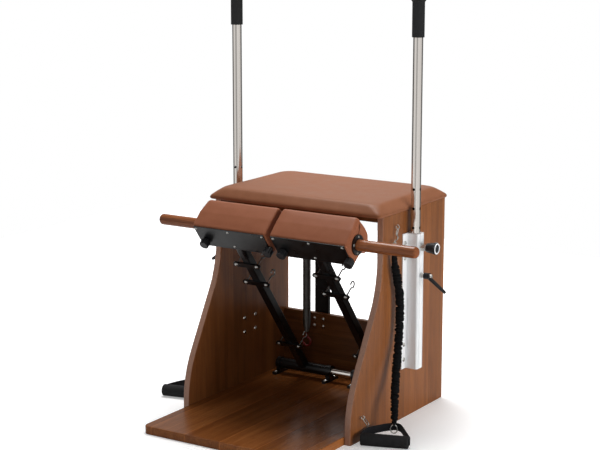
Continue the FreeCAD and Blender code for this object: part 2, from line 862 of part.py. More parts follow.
def pedal_tray(side):
    """Folded plate: an upright front with a lip under the pad and an ear round each knob stud."""
    top = tray_bottom + tray_height
    lip = tray_face + tray_lip_depth
    outline = [
        V(tray_inner_x, tray_face, tray_bottom), V(tray_inner_x, lip, tray_bottom),
        V(tray_inner_x, lip, pad_bottom), V(tray_inner_x, -tray_front, pad_bottom),
        V(tray_inner_x, -tray_front, top), V(tray_inner_x, tray_face, top),
    ]
    bend = tray_bend_radius
    edge = tray_sheet / 4
    wire = rounded_outline(outline, [bend, edge, edge, bend - tray_sheet, edge, edge])
    sheet = V(0, tray_sheet, 0)
    over = V(0, cut_overrun, 0)
    ears = [rod(p, p + sheet, knob_ear_radius) for p in knob_places(side)]
    studs = [rod(p - over, p + sheet + over, knob_stud_radius + running_gap) for p in knob_places(side)]
    plate = extruded(wire, V(tray_outer_x - tray_inner_x, 0, 0)).fuse(ears).removeSplitter()
    return plate.cut(screw_holes() + studs)


def pad_section(x, inset):
    """Pad outline at one place along its length, pulled in by an inset."""
    front = -tray_front
    back = front + pad_depth
    mid = (front + back) / 2
    points = [
        V(0, front, pad_bottom), V(0, front + pad_flat_bottom, pad_bottom),
        V(0, front + pad_tail_from_front, pad_bottom - pad_tail_drop),
        V(0, front + pad_back_reach, pad_bottom + pad_back_low),
        V(0, front + pad_back_reach, pad_bottom + pad_back_high),
        V(0, back, pad_top + pad_rear_lift), V(0, mid, pad_top + pad_rear_lift / 2 + pad_crown),
        V(0, front, pad_top),
    ]
    crown_turn = math.atan2(pad_crown, pad_depth / 2)
    crown_radius = pad_round_share * pad_depth / 2 / math.tan(crown_turn) / 2
    small = pad_corner_radius
    wide = pad_back_radius
    wire = rounded_outline(points, [small, wide, wide, wide, wide, pad_brow_radius, crown_radius, small])
    if inset:
        wire = wire.makeOffset2D(-inset)
    wire.translate(V(x, 0, 0))
    return wire


def pedal_pad():
    places = [
        (pad_inner_x, pad_end_inset), (pad_inner_x + pad_end_shoulder, pad_end_shoulder_inset),
        (pad_inner_x + pad_end_depth, 0), (pad_outer_x - pad_end_depth, 0),
        (pad_outer_x - pad_end_shoulder, pad_end_shoulder_inset), (pad_outer_x, pad_end_inset),
    ]
    block = Part.makeLoft([pad_section(*place) for place in places], True, True)
    end = V(pad_outer_x + cut_overrun, dowel_back, dowel_height)
    socket = rod(end - V(dowel_socket_depth + cut_overrun, 0, 0), end, dowel_radius + running_gap)
    holes = [rod(p - V(screw_depth, 0, 0), p, screw_shank_radius + bolt_gap) for p in flange_screw_places()]
    return block.cut([socket] + screw_holes() + holes)


def flange_screw_places():
    places = []
    for i in range(flange_screw_count):
        turn = math.radians(flange_screw_turn + 360 * i / flange_screw_count)
        spoke = V(0, math.cos(turn), math.sin(turn)) * flange_screw_circle
        places.append(V(pad_outer_x + flange_thickness, dowel_back, dowel_height) + spoke)
    return places


def handle_flange():
    seat = V(pad_outer_x, dowel_back, dowel_height)
    face = seat + V(flange_thickness, 0, 0)
    over = V(cut_overrun, 0, 0)
    plate = rod(seat, face, flange_radius)
    cuts = [rod(seat - over, face + over, dowel_radius + running_gap)]
    cuts += [rod(p - V(flange_thickness, 0, 0) - over, p + over, screw_shank_radius + bolt_gap)
             for p in flange_screw_places()]
    return plate.cut(cuts)


def pedal_screws():
    screws = [small_screw(p, V(0, -1, 0)) for p in tray_screw_places()]
    return Part.makeCompound(screws + [small_screw(p, V(1, 0, 0)) for p in flange_screw_places()])


def dowel_handle(reach):
    tip = V(reach, dowel_back, dowel_height)
    dowel = rod(tip - V(dowel_length, 0, 0), tip, dowel_radius)
    ends = [e for e in dowel.Edges if e.BoundBox.XMin > reach - cut_overrun]
    return dowel.makeFillet(dowel_tip_round, ends)


def tray_knob(place):
    out = V(0, -1, 0)
    foot = place + out * (free_gap + knob_neck_length)
    body = Part.makeCylinder(knob_radius, knob_length, foot, out)
    rims = [e for e in body.Edges if len(e.Vertexes) == 1]
    body = fluted(body.makeFillet(knob_edge_round, rims), foot, out, knob_length, knob_radius,
                  knob_flute_radius, knob_flute_count, knob_flute_bite)
    neck = rod(place + out * free_gap, foot, knob_neck_radius)
    stud = rod(place - out * knob_stud_depth, foot, knob_stud_radius)
    return body.fuse([neck, stud])


# Pole housings, poles and grips

def handle_housing():
    half = housing_flange_width / 2
    body = housing_body_width / 2
    skin_x = panel_outer_x + housing_flange_thickness
    points = [
        V(panel_outer_x, pole_y - half, 0), V(skin_x, pole_y - half, 0),
        V(skin_x, pole_y - body, 0), V(housing_face_x, pole_y - body, 0),
        V(housing_face_x, pole_y + body, 0), V(skin_x, pole_y + body, 0),
        V(skin_x, pole_y + half, 0), V(panel_outer_x, pole_y + half, 0),
    ]
    edge = housing_flange_thickness / 4
    root = housing_root_round
    crown = housing_body_round
    wire = rounded_outline(points, [edge, edge, root, crown, crown, root, edge, edge])
    solid = extruded(wire, V(0, 0, housing_top - housing_bottom))
    solid.translate(V(0, 0, housing_bottom))
    low = V(pole_x, pole_y, housing_bottom - cut_overrun)
    high = V(pole_x, pole_y, housing_top + cut_overrun)
    cuts = [rod(low, high, pole_radius + running_gap)]
    for side in (-1, 1):
        y = pole_y + side * housing_groove_offset
        cuts.append(box(housing_face_x - housing_groove_depth, housing_face_x + cut_overrun,
                        y - housing_groove_width / 2, y + housing_groove_width / 2,
                        housing_bottom - cut_overrun, housing_top + cut_overrun))
    start = V(panel_outer_x - cut_overrun, 0, 0)
    end = V(skin_x + cut_overrun, 0, 0)
    cuts += [rod(p + start, p + end, bolt_shank_radius + bolt_gap) for p in housing_bolt_places()]
    for z, radius in ((plunger_height, plunger_pin_radius), (lever_height, lever_stud_radius)):
        cuts.append(rod(V(pole_x, pole_y, z), V(housing_face_x + cut_overrun, pole_y, z), radius + running_gap))
    return solid.cut(cuts)


def housing_bolt(place):
    """Through bolt with a domed head outside and a domed nut inside."""
    outside = place + V(panel_outer_x + housing_flange_thickness, 0, 0)
    inside = place + V(panel_inner_x, 0, 0)
    head = domed_head(outside, V(1, 0, 0), bolt_head_radius, bolt_head_height)
    nut = domed_head(inside, V(-1, 0, 0), bolt_head_radius, bolt_head_height)
    return head.fuse([nut, rod(inside, outside, bolt_shank_radius)])


def handle_pole():
    low = V(pole_x, pole_y, pole_bottom)
    tube = rod(low, V(pole_x, pole_y, pole_top), pole_radius)
    cuts = [rod(low - V(0, 0, cut_overrun), V(pole_x, pole_y, pole_top + cut_overrun), pole_radius - pole_wall)]
    reach = pole_radius + cut_overrun
    for i in range(pole_hole_count):
        centre = V(pole_x, pole_y, pole_hole_low + i * pole_hole_pitch)
        for way in (V(reach, 0, 0), V(0, reach, 0)):
            cuts.append(rod(centre - way, centre + way, pole_hole_radius))
    return tube.cut(cuts)


def pole_grip():
    """Straight sleeve that flares into a rounded knob over the pole's end."""
    def at(radius, z):
        return V(pole_x + radius, pole_y, z)

    waist = at(grip_radius, grip_waist_top)
    widest = at(grip_flare_radius, grip_flare_height)
    crown = at(grip_crown_radius, grip_top)
    flare_mid = at((grip_radius * 2 + grip_flare_radius) / 3, (grip_waist_top + grip_flare_height) / 2)
    brow_mid = at((grip_flare_radius * 2 + grip_crown_radius) / 3, (grip_flare_height + grip_top * 2) / 3)
    edges = [
        Part.makeLine(at(pole_radius, grip_bottom), at(grip_radius, grip_bottom)),
        Part.makeLine(at(grip_radius, grip_bottom), waist),
        Part.Arc(waist, flare_mid, widest).toShape(),
        Part.Arc(widest, brow_mid, crown).toShape(),
        Part.makeLine(crown, at(0, grip_top)),
        Part.makeLine(at(0, grip_top), at(0, pole_top)),
        Part.makeLine(at(0, pole_top), at(pole_radius, pole_top)),
        Part.makeLine(at(pole_radius, pole_top), at(pole_radius, grip_bottom)),
    ]
    return Part.Face(Part.Wire(edges)).revolve(V(pole_x, pole_y, 0), V(0, 0, 1), 360)


# Plungers and levers

def plunger_nut():
    start = V(housing_face_x, pole_y, plunger_height)
    run = V(plunger_nut_length, 0, 0)
    over = V(cut_overrun, 0, 0)
    return hex_bar(start, run, plunger_nut_flats).cut(
        rod(start - over, start + run + over, plunger_pin_radius + running_gap))


def plunger_knob():
    """Pull knob whose pin stops just short of the pole."""
    out = V(1, 0, 0)
    nose = V(pole_x + pole_radius + free_gap, pole_y, plunger_height)
    foot = V(housing_face_x + plunger_nut_length + free_gap, pole_y, plunger_height)
    body = Part.makeCone(plunger_knob_foot_radius, plunger_knob_radius, plunger_knob_length, foot, out)
    rims = [e for e in body.Edges if len(e.Vertexes) == 1]
    body = fluted(body.makeFillet(plunger_knob_round, rims), foot, out, plunger_knob_length,
                  plunger_knob_radius, plunger_flute_radius, plunger_flute_count, plunger_flute_bite)
    return body.fuse(rod(nose, foot, plunger_pin_radius))


def clamp_lever():
    """Stud, round hub with an end cap, and a tapered arm that slants out and down."""
    nose = V(pole_x + pole_radius + free_gap, pole_y, lever_height)
    seat = V(housing_face_x + free_gap, pole_y, lever_height)
    hub = seat + V(lever_collar_length, 0, 0)
    cap = hub + V(lever_hub_length, 0, 0)
    root = hub + V(lever_hub_length / 2, 0, 0)
    tip = root + V(lever_arm_out, 0, -lever_arm_drop)
    run = tip - root
    arm = Part.makeCone(lever_arm_root_radius, lever_arm_tip_radius, run.Length, root, run)
    pieces = [
        rod(seat, hub, lever_collar_radius), rod(hub, cap, lever_hub_radius), arm,
        rod(cap, cap + V(lever_cap_length, 0, 0), lever_cap_radius), Part.makeSphere(lever_arm_tip_radius, tip),
    ]
    return rod(nose, seat, lever_stud_radius).fuse(pieces)


# Cords and hand grips

def placed(point):
    """Point given sideways, forward from the rear plane and up, as a place in the chair."""
    return V(point.x, rear_y - point.y, point.z)


def eye_screw(place):
    centre = place + V(eye_out, 0, 0)
    ring = Part.makeTorus(eye_radius, eye_wire_radius, centre, V(0, 1, 0))
    return ring.fuse(rod(place - V(eye_shank_depth, 0, 0), centre - V(eye_radius, 0, 0), eye_wire_radius))


def clip_loop(eye_place, run):
    """Long wire link that hangs in an eye and runs towards its lower end."""
    along = unit(run)
    steep = math.sqrt(1 - along.y ** 2)
    sag = clip_half_width - math.sqrt(clip_half_width ** 2 - (eye_radius * along.y) ** 2)
    reach = (clip_seat_gap + clip_wire_radius + eye_wire_radius + sag) / steep
    seat = eye_place + V(eye_out, 0, reach - eye_radius)
    across = unit(V(0, 1, 0) - along * along.y)
    half = across * clip_half_width
    top = seat + along * clip_half_width
    low = seat + run - along * clip_half_width
    edges = [
        Part.Arc(top + half, seat, top - half).toShape(),
        Part.makeLine(top - half, low - half),
        Part.Arc(low - half, seat + run, low + half).toShape(),
        Part.makeLine(low + half, top + half),
    ]
    return tube_along(edges, clip_wire_radius), seat + run


def cord_clips(side):
    """Upper clip with the cord's end cup, and the loose lower clip."""
    upper, lower = eye_places()
    route, run = cord_route_right, upper_clip_run_right
    if side < 0:
        route, run = cord_route_left, upper_clip_run_left
    high_loop, high_end = clip_loop(upper, run)
    low_loop, _ = clip_loop(lower, lower_clip_run)
    start = placed(route[0])
    cup = rod(start, V(start.x, start.y, high_end.z), cord_cup_radius)
    if side < 0:
        high_loop, low_loop = mirrored(high_loop), mirrored(low_loop)
    return [high_loop.fuse(cup), low_loop]


def cord(route, name):
    """Tube of straight runs joined by tangent arcs, butted to its two cups."""
    points = [placed(p) for p in route]
    edges = []
    last = points[0]
    radii = []
    for before, point, after in zip(points, points[1:], points[2:]):
        half_turn = (point - before).getAngle(after - point) / 2
        shorter = min((point - before).Length, (after - point).Length)
        radius = cord_arc_share * shorter / math.tan(half_turn)
        radii.append(radius)
        start, middle, end = corner(before, point, after, radius)
        edges += [Part.LineSegment(last, start).toShape(), Part.Arc(start, middle, end).toShape()]
        last = end
    edges.append(Part.LineSegment(last, points[-1]).toShape())
    solid = tube_along(edges, cord_radius)
    expected = math.pi * cord_radius ** 2 * sum(e.Length for e in edges)
    print(name, "bend radii", [round(r) for r in radii], "volume share %.4f" % (solid.Volume / expected))
    return solid


def strap_corners(ends, centre):
    """Corners of the strap outside the grip: out of each end, then clear of its edge on the ring's side."""
    along = unit(ends[1] - ends[0])
    lateral = unit((centre - ends[0]) - along * (centre - ends[0]).dot(along))
    clear = lateral * (hand_grip_radius + strap_thickness)
    mouths = [ends[0] - along * strap_overhang, ends[1] + along * strap_overhang]
    return mouths, [mouth + clear for mouth in mouths]


def ring_centre(route):
    """Middle of the loop ring, under the cord's lower end."""
    foot = placed(route[-1])
    return V(foot.x, foot.y, loop_ring_height)


def strap_bisector(centre, shoulders):
    return unit(unit(shoulders[0] - centre) + unit(shoulders[1] - centre))


def cord_ring(route, ends):
    """Loop ring that stands below the cord's end, in line with the strap."""
    foot = placed(route[-1])
    centre = ring_centre(route)
    heading = strap_bisector(centre, strap_corners(ends, centre)[1])
    ring = Part.makeTorus(loop_ring_radius, loop_ring_wire_radius, centre, V(-heading.y, heading.x, 0))
    return ring.fuse(rod(centre + V(0, 0, loop_ring_radius), foot, cord_neck_radius))


def cord_strap(route, ends):
    """Closed webbing band, standing on edge, through the grip and round the ring's near side."""
    centre = ring_centre(route)
    mouths, shoulders = strap_corners(ends, centre)
    heading = strap_bisector(centre, shoulders)
    half = strap_thickness / 2
    inside = loop_ring_radius - loop_ring_wire_radius - strap_ring_gap
    reach = math.sqrt(inside ** 2 - (strap_width / 2) ** 2) - half
    half_turn = math.pi / 2 - (shoulders[0] - centre).getAngle(shoulders[1] - centre) / 2
    crest = strap_apex_radius / math.cos(half_turn) - strap_apex_radius
    apex = centre + heading * (reach - crest)
    turn = strap_turn_radius
    line = rounded_outline(mouths + [shoulders[1], apex, shoulders[0]],
                           [turn, turn, turn, strap_apex_radius, turn])
    band = Part.Face(line.makeOffset2D(half)).cut(Part.Face(line.makeOffset2D(-half)))
    band = band.extrude(V(0, 0, strap_width))
    band.translate(V(0, 0, -strap_width / 2))
    return band


def cord_handle(ends):
    tube = rod(ends[0], ends[1], hand_grip_radius)
    rims = [e for e in tube.Edges if len(e.Vertexes) == 1]
    along = unit(ends[1] - ends[0]) * cut_overrun
    return tube.makeFillet(hand_grip_round, rims).cut(rod(ends[0] - along, ends[1] + along, hand_grip_bore))


# Export

def export_frame():
    save_sides("side_panel", side_panel())
    save("base_board", [base_board()])
    save("back_panel", [back_panel()])
    save("seat_board", [seat_board()])
    save("seat_cushion", [seat_cushion()])
    save("pivot_axle", [pivot_axle()])
    xs = [bracket_inner_x, bracket_outer_x]
    save("axle_brackets", [axle_bracket(side * x) for side in (-1, 1) for x in xs])
    save("frame_bolts", frame_bolts())
    save_sides("spring_post", spring_post())
    save("hanger_pins", both_sides(hanger_pin()))


def export_poles():
    save_sides("handle_housing", handle_housing())
    bolts = [housing_bolt(p) for p in housing_bolt_places()]
    save("housing_bolts", bolts + [mirrored(b) for b in bolts])
    save("plunger_nuts", both_sides(plunger_nut()))
    for name, shape in (("handle_pole", handle_pole()), ("pole_grip", pole_grip())):
        save(name + "_right", [shape.translated(V(0, 0, pole_lift_right))])
        save(name + "_left", [mirrored(shape.translated(V(0, 0, pole_lift_left)))])
    save_sides("plunger_knob", plunger_knob())
    save_sides("clamp_lever", clamp_lever())


def export_pedals():
    save_sides("pedal_arm", in_pedal(pedal_arm()))
    save_sides("pivot_bushes", in_pedal(pivot_bushes()))
    save_sides("hook_bars", in_pedal(hook_bars()))
    save_sides("spring_hooks", in_pedal(Part.makeCompound([spring_hook(p) for p in hook_places()])))
    save("pedal_tray_right", [in_pedal(pedal_tray(1))])
    save("pedal_tray_left", [mirrored(in_pedal(pedal_tray(-1)))])
    save_sides("pedal_pad", in_pedal(pedal_pad()))
    save_sides("handle_flange", in_pedal(handle_flange()))
    save_sides("pedal_screws", in_pedal(pedal_screws()))
    save("dowel_handle_right", [in_pedal(dowel_handle(dowel_reach_right))])
    save("dowel_handle_left", [mirrored(in_pedal(dowel_handle(dowel_reach_left)))])
    for name, right, left in zip(("inner", "outer"), knob_places(1), knob_places(-1)):
        save("tray_knob_" + name + "_right", [in_pedal(tray_knob(right))])
        save("tray_knob_" + name + "_left", [mirrored(in_pedal(tray_knob(left)))])


def export_springs():
    save_sides("spring_coils", spring_coils())
    save_sides("spring_ring", spring_ring())


def export_cords():
    eyes = [eye_screw(p) for p in eye_places()]
    save("cord_eyes", eyes + [mirrored(e) for e in eyes])
    save("cord_clips", cord_clips(1) + cord_clips(-1))
    right_ends = [placed(p) for p in hand_grip_right_ends]
    left_ends = [placed(p) for p in hand_grip_left_ends]
    save("cord_right", [cord(cord_route_right, "cord_right")])
    save("cord_left", [cord(cord_route_left, "cord_left")])
    save("cord_rings", [cord_ring(cord_route_right, right_ends), cord_ring(cord_route_left, left_ends)])
    save("cord_strap_right", [cord_strap(cord_route_right, right_ends)])
    save("cord_strap_left", [cord_strap(cord_route_left, left_ends)])
    save("cord_handle_right", [cord_handle(right_ends)])
    save("cord_handle_left", [cord_handle(left_ends)])


os.makedirs("parts", exist_ok=True)
export_frame()
export_poles()
export_pedals()
export_springs()
export_cords()
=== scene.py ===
import math

import bmesh
import bpy
import numpy as np
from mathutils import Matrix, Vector


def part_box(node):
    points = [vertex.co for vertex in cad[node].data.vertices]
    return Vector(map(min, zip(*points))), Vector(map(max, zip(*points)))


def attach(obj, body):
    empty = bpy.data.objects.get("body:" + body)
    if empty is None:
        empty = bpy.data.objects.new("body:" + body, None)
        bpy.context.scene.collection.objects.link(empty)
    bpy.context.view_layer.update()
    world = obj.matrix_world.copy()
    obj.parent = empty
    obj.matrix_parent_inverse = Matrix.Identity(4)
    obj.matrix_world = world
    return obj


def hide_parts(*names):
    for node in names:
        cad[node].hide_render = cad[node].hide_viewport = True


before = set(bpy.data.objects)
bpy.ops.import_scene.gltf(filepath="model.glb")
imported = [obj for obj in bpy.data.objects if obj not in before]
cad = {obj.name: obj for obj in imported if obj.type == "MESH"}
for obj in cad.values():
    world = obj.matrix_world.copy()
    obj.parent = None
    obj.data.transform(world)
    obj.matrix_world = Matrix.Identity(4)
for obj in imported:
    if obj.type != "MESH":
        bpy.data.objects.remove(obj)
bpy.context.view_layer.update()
scene = bpy.context.scene
SIDES = (("left", -1.0), ("right", 1.0))


# ---- Studio -------------------------------------------------------------------------------
# The chair stands on a plain pale sweep and is seen a little from above, from its front right.
# Three soft boxes light it. Metal mirrors only the top one; white screens and dark gaps round the room give the rest.

camera_azimuth = math.radians(32.724)
camera_elevation = math.radians(11.556)
camera_place = (2.47407, -3.82000, 1.49111)
camera_lens = 98.09
camera_data = bpy.data.cameras.new("photo_camera")
camera_data.lens = camera_lens
camera_data.sensor_width = 36.0
camera_data.sensor_fit = "HORIZONTAL"
camera = bpy.data.objects.new("photo_camera", camera_data)
scene.collection.objects.link(camera)
towards_camera = Vector((math.sin(camera_azimuth) * math.cos(camera_elevation),
                         -math.cos(camera_azimuth) * math.cos(camera_elevation), math.sin(camera_elevation)))
camera.location = camera_place
camera.rotation_mode = "QUATERNION"
camera.rotation_quaternion = towards_camera.to_track_quat("Z", "Y")
scene.camera = camera
scene.view_settings.view_transform = "Standard"


def add(tree, kind, feeds=None, **settings):
    """One shader node; feeds gives its inputs, each as a plain value or as the socket that drives it."""
    made = tree.nodes.new("ShaderNode" + kind)
    for label, value in settings.items():
        setattr(made, label, value)
    for label, value in (feeds or {}).items():
        if isinstance(value, bpy.types.NodeSocket):
            tree.links.new(value, made.inputs[label])
        else:
            made.inputs[label].default_value = value
    return made


def calc(tree, operation, *values):
    """One Math node on sockets or plain numbers."""
    return add(tree, "Math", dict(enumerate(values)), operation=operation).outputs[0]


def mapped(tree, value, start=(0.0, 1.0), end=(0.0, 1.0)):
    """Value moved in proportion from a start range to an end range, and kept inside that."""
    labels = ("Value", "From Min", "From Max", "To Min", "To Max")
    return add(tree, "MapRange", dict(zip(labels, (value, *start, *end)))).outputs[0]


room_light = 0.15
world = bpy.data.worlds.new("studio")
world.use_nodes = True
scene.world = world
room = world.node_tree
heading = add(room, "TexCoord").outputs["Generated"]
camera_ahead = (math.sin(camera_azimuth), -math.cos(camera_azimuth), 0.0)
camera_aside = (math.cos(camera_azimuth), math.sin(camera_azimuth), 0.0)
ahead, aside = (add(room, "VectorMath", {0: heading, 1: axis}, operation="DOT_PRODUCT").outputs["Value"]
                for axis in (camera_ahead, camera_aside))
turn = calc(room, "MULTIPLY_ADD", calc(room, "ARCTAN2", aside, ahead), 0.5 / math.pi, 0.5)
# White screens and dark gaps round the studio, as metal sees them from left of the camera to right of it.
screens = add(room, "ValToRGB", {0: turn})
screen_levels = ((0.00, 0.45), (0.10, 0.45), (0.14, 0.10), (0.215, 0.12), (0.25, 0.95), (0.38, 0.95), (0.415, 0.45),
                 (0.47, 0.45), (0.50, 0.95), (0.73, 0.85), (0.78, 0.12), (0.83, 0.25), (0.88, 0.10), (0.95, 0.12),
                 (1.00, 1.00))
for place, level in screen_levels:
    if place in (0.0, 1.0):
        mark = screens.color_ramp.elements[-int(place)]
    else:
        mark = screens.color_ramp.elements.new(place)
    mark.color = (level, level, level, 1.0)
path = add(room, "LightPath").outputs
seen_glossy = calc(room, "MAXIMUM", path["Is Glossy Ray"], path["Is Transmission Ray"])
screen_gain = calc(room, "SUBTRACT", screens.outputs["Color"], room_light)
lit = calc(room, "MULTIPLY_ADD", seen_glossy, screen_gain, room_light)
strength = calc(room, "MULTIPLY_ADD", path["Is Camera Ray"], calc(room, "SUBTRACT", 1.0, lit), lit)
room.links.new(strength, room.nodes["Background"].inputs["Strength"])
room.nodes["Background"].inputs["Color"].default_value = (1.0, 1.0, 1.0, 1.0)

for label, place, aim, wide, tall, watts in (
        ("soft_box_top", (-0.5, 0.75, 2.9), (0.0, 0.1, 0.5), 1.6, 1.6, 88.0),
        ("soft_box_right", (2.9, 0.3, 0.50), (0.28, 0.1, 0.36), 2.4, 1.0, 54.0),
        ("soft_box_front", (1.5, -3.2, 1.4), (0.0, 0.0, 0.4), 1.4, 1.4, 15.0)):
    lamp = bpy.data.lights.new(label, "AREA")
    lamp.shape = "ELLIPSE"
    lamp.size = wide
    lamp.size_y = tall
    lamp.energy = watts
    stand = bpy.data.objects.new(label, lamp)
    stand.visible_glossy = label == "soft_box_top"
    stand.location = place
    stand.rotation_mode = "QUATERNION"
    stand.rotation_quaternion = (Vector(place) - Vector(aim)).to_track_quat("Z", "Y")
    scene.collection.objects.link(stand)


def finish(name, **sockets):
    """New material with its plain sockets set; returns it with its node tree and its shader."""
    made = bpy.data.materials.new(name)
    made.use_nodes = True
    shader = made.node_tree.nodes["Principled BSDF"]
    for label, value in sockets.items():
        shader.inputs[label.replace("_", " ")].default_value = value
    return made, made.node_tree, shader


def drive(tree, shader, **sockets):
    """Drives a shader's inputs, each from the socket given under its name."""
    for label, source in sockets.items():
        tree.links.new(source, shader.inputs[label.replace("_", " ")])


def travelled(line):
    """How far along a line of points each of them is."""
    return np.concatenate([[0.0], np.cumsum(np.linalg.norm(np.diff(line, axis=0), axis=1))])


def skin(name, grid, loop_rows=False, loop_columns=True, caps=True, crease=None):
    """Mesh of quads between neighbouring points of a grid of rows and columns; flat caps close its first and last
    row. Its UV map counts metres along the rows' middle line and round the columns."""
    rows, columns = grid.shape[:2]
    index = np.arange(rows * columns).reshape(rows, columns)
    first = index if loop_rows else index[:-1]
    second = np.roll(index, -1, 0) if loop_rows else index[1:]
    quads = np.stack([first, np.roll(first, -1, 1), np.roll(second, -1, 1), second], -1)
    quads = (quads if loop_columns else quads[:, :-1]).reshape(-1, 4)
    faces = quads.tolist()
    if caps and not loop_rows:
        faces += [index[0, ::-1].tolist(), index[-1].tolist()]
    mesh = bpy.data.meshes.new(name)
    mesh.from_pydata(grid.reshape(-1, 3).tolist(), [], faces)
    along = travelled(grid.mean(1))
    ring = np.linalg.norm(np.roll(grid, -1, 1) - grid, axis=2).mean(0)
    around = np.concatenate([[0.0], np.cumsum(ring)])[:columns]
    flat = np.stack(np.broadcast_arrays(around[None, :], along[:, None]), -1).reshape(-1, 2)
    corners = np.empty(len(mesh.loops), np.int32)
    mesh.loops.foreach_get("vertex_index", corners)
    mesh.uv_layers.new(name="surface").data.foreach_set("uv", flat[corners].ravel())
    shell = bmesh.new()
    shell.from_mesh(mesh)
    bmesh.ops.recalc_face_normals(shell, faces=shell.faces)
    shell.to_mesh(mesh)
    shell.free()
    mesh.polygons.foreach_set("use_smooth", np.ones(len(mesh.polygons), bool))
    if crease:
        mesh.set_sharp_from_angle(angle=math.radians(crease))
    piece = bpy.data.objects.new(name, mesh)
    scene.collection.objects.link(piece)
    return piece


floor_reach = 2.4
floor_level = -0.0004
floor_front = (-0.54, -0.84, 0.0)
floor_sheen = (0.26, 0.85)
sweep, sweep_tree, sweep_shader = finish("pale_floor", Roughness=0.9)
floor_place = add(sweep_tree, "TexCoord").outputs["Object"]
grit = add(sweep_tree, "TexNoise", {"Vector": floor_place, "Scale": 3.0})
sight = add(sweep_tree, "LightPath").outputs
# Reflections see the floor brighter in front of the chair than behind it.
frontness = add(sweep_tree, "VectorMath", {0: floor_place, 1: floor_front}, operation="DOT_PRODUCT").outputs["Value"]
sheen = mapped(sweep_tree, frontness, (-0.6, 1.0), floor_sheen)
dimmed = calc(sweep_tree, "SUBTRACT", 1.0, calc(sweep_tree, "MULTIPLY", sight["Is Glossy Ray"], calc(
    sweep_tree, "SUBTRACT", 1.0, sheen)))
tint = mapped(sweep_tree, grit.outputs[0], end=(0.86, 0.88))
drive(sweep_tree, sweep_shader, Base_Color=calc(sweep_tree, "MULTIPLY", tint, dimmed))
away = add(sweep_tree, "VectorMath", {0: floor_place}, operation="LENGTH").outputs["Value"]
lift = mapped(sweep_tree, away, (0.45, 1.5), (0.30, 1.0))
seen = calc(sweep_tree, "MULTIPLY_ADD", sight["Is Glossy Ray"], sheen, sight["Is Camera Ray"])
glow = add(sweep_tree, "Emission", {"Color": (1.0, 1.0, 1.0, 1.0),
                                    "Strength": calc(sweep_tree, "MULTIPLY", seen, lift)})
both = add(sweep_tree, "AddShader", {0: sweep_shader.outputs[0], 1: glow.outputs[0]})
sweep_tree.links.new(both.outputs[0], sweep_tree.nodes["Material Output"].inputs["Surface"])
floor_steps = np.linspace(-floor_reach, floor_reach, 5)
floor_grid = np.stack([*np.meshgrid(floor_steps, floor_steps, indexing="ij"), np.full((5, 5), floor_level)], -1)
floor = skin("floor", floor_grid, loop_columns=False, caps=False)
floor.data.materials.append(sweep)


# ---- Wooden frame -------------------------------------------------------------------------
# The sides, base, back and seat board are walnut-toned glued boards under a satin varnish. The back and seat
# board are darker: painted shade for their place inside the frame.
# Strips of slightly different tone are glued side by side, upright on the sides and front to back on the base.

def effect(name, inputs, outputs):
    """New node group with named sockets; returns its tree, what comes in and where it goes out."""
    tree = bpy.data.node_groups.new(name, "ShaderNodeTree")
    for label, kind in inputs:
        tree.interface.new_socket(label, in_out="INPUT", socket_type="NodeSocket" + kind)
    for label in outputs:
        tree.interface.new_socket(label, in_out="OUTPUT", socket_type="NodeSocketFloat")
    return tree, tree.nodes.new("NodeGroupInput").outputs, tree.nodes.new("NodeGroupOutput").inputs


def scaled(tree, vector, factors):
    """Vector multiplied part by part."""
    return add(tree, "VectorMath", {0: vector, 1: factors}, operation="MULTIPLY").outputs[0]


def noise(tree, vector, scale, detail=2.0, roughness=0.5, distortion=0.0):
    """Fractal noise from 0 to 1 at places of a vector."""
    return add(tree, "TexNoise", {"Vector": vector, "Scale": scale, "Detail": detail, "Roughness": roughness,
                                  "Distortion": distortion}).outputs[0]


def ramp(tree, value, *stops):
    """Colour ramp through (position, colour) stops."""
    made = add(tree, "ValToRGB", {0: value})
    marks = made.color_ramp.elements
    while len(marks) < len(stops):
        marks.new(0.5)
    for mark, (place, colour) in zip(marks, stops):
        mark.position = place
        mark.color = (*colour, 1.0)
    return made.outputs["Color"]


def shaded(tree, colour, factor):
    """Colour multiplied by a grey factor."""
    grey = add(tree, "CombineXYZ", {0: factor, 1: factor, 2: factor}).outputs[0]
    return add(tree, "VectorMath", {0: colour, 1: grey}, operation="MULTIPLY").outputs[0]


def bump(tree, strength, distance, height):
    """Normals tilted as if the skin rose by a distance times a height."""
    return add(tree, "Bump", {"Strength": strength, "Distance": distance, "Height": height}).outputs[0]


# Glued strips: x runs across the strips and z along the grain, each strip with its own tone and figure.
figure, grain_in, grain_out = effect(
    "glued_strips", (("Vector", "Vector"), ("Strip Width", "Float")), ("Figure", "Pores", "Joint", "Tone"))
parts = add(figure, "SeparateXYZ", {0: grain_in["Vector"]}).outputs
strip = calc(figure, "DIVIDE", parts[0], grain_in["Strip Width"])
strip_id = add(figure, "TexWhiteNoise", {"W": calc(figure, "FLOOR", strip)}, noise_dimensions="1D").outputs
shifted = add(figure, "VectorMath", {0: grain_in["Vector"], 1: scaled(figure, strip_id["Color"], (7.0, 7.0, 7.0))},
              operation="ADD").outputs[0]
broad = noise(figure, scaled(figure, shifted, (34.0, 20.0, 2.0)), 1.0, 4.0, 0.6, 0.7)
fibre = noise(figure, scaled(figure, shifted, (260.0, 120.0, 5.0)), 1.0, 4.0, 0.65, 0.3)
pore = noise(figure, scaled(figure, shifted, (900.0, 500.0, 26.0)), 1.0, 1.0)
mixed = calc(figure, "MULTIPLY_ADD", broad, 0.62, calc(figure, "MULTIPLY", fibre, 0.38))
figure.links.new(mixed, grain_out["Figure"])
figure.links.new(mapped(figure, pore, (0.58, 0.72)), grain_out["Pores"])
from_joint = calc(figure, "ABSOLUTE", calc(figure, "SUBTRACT", calc(figure, "FRACT", strip), 0.5))
figure.links.new(mapped(figure, from_joint, (0.484, 0.5)), grain_out["Joint"])
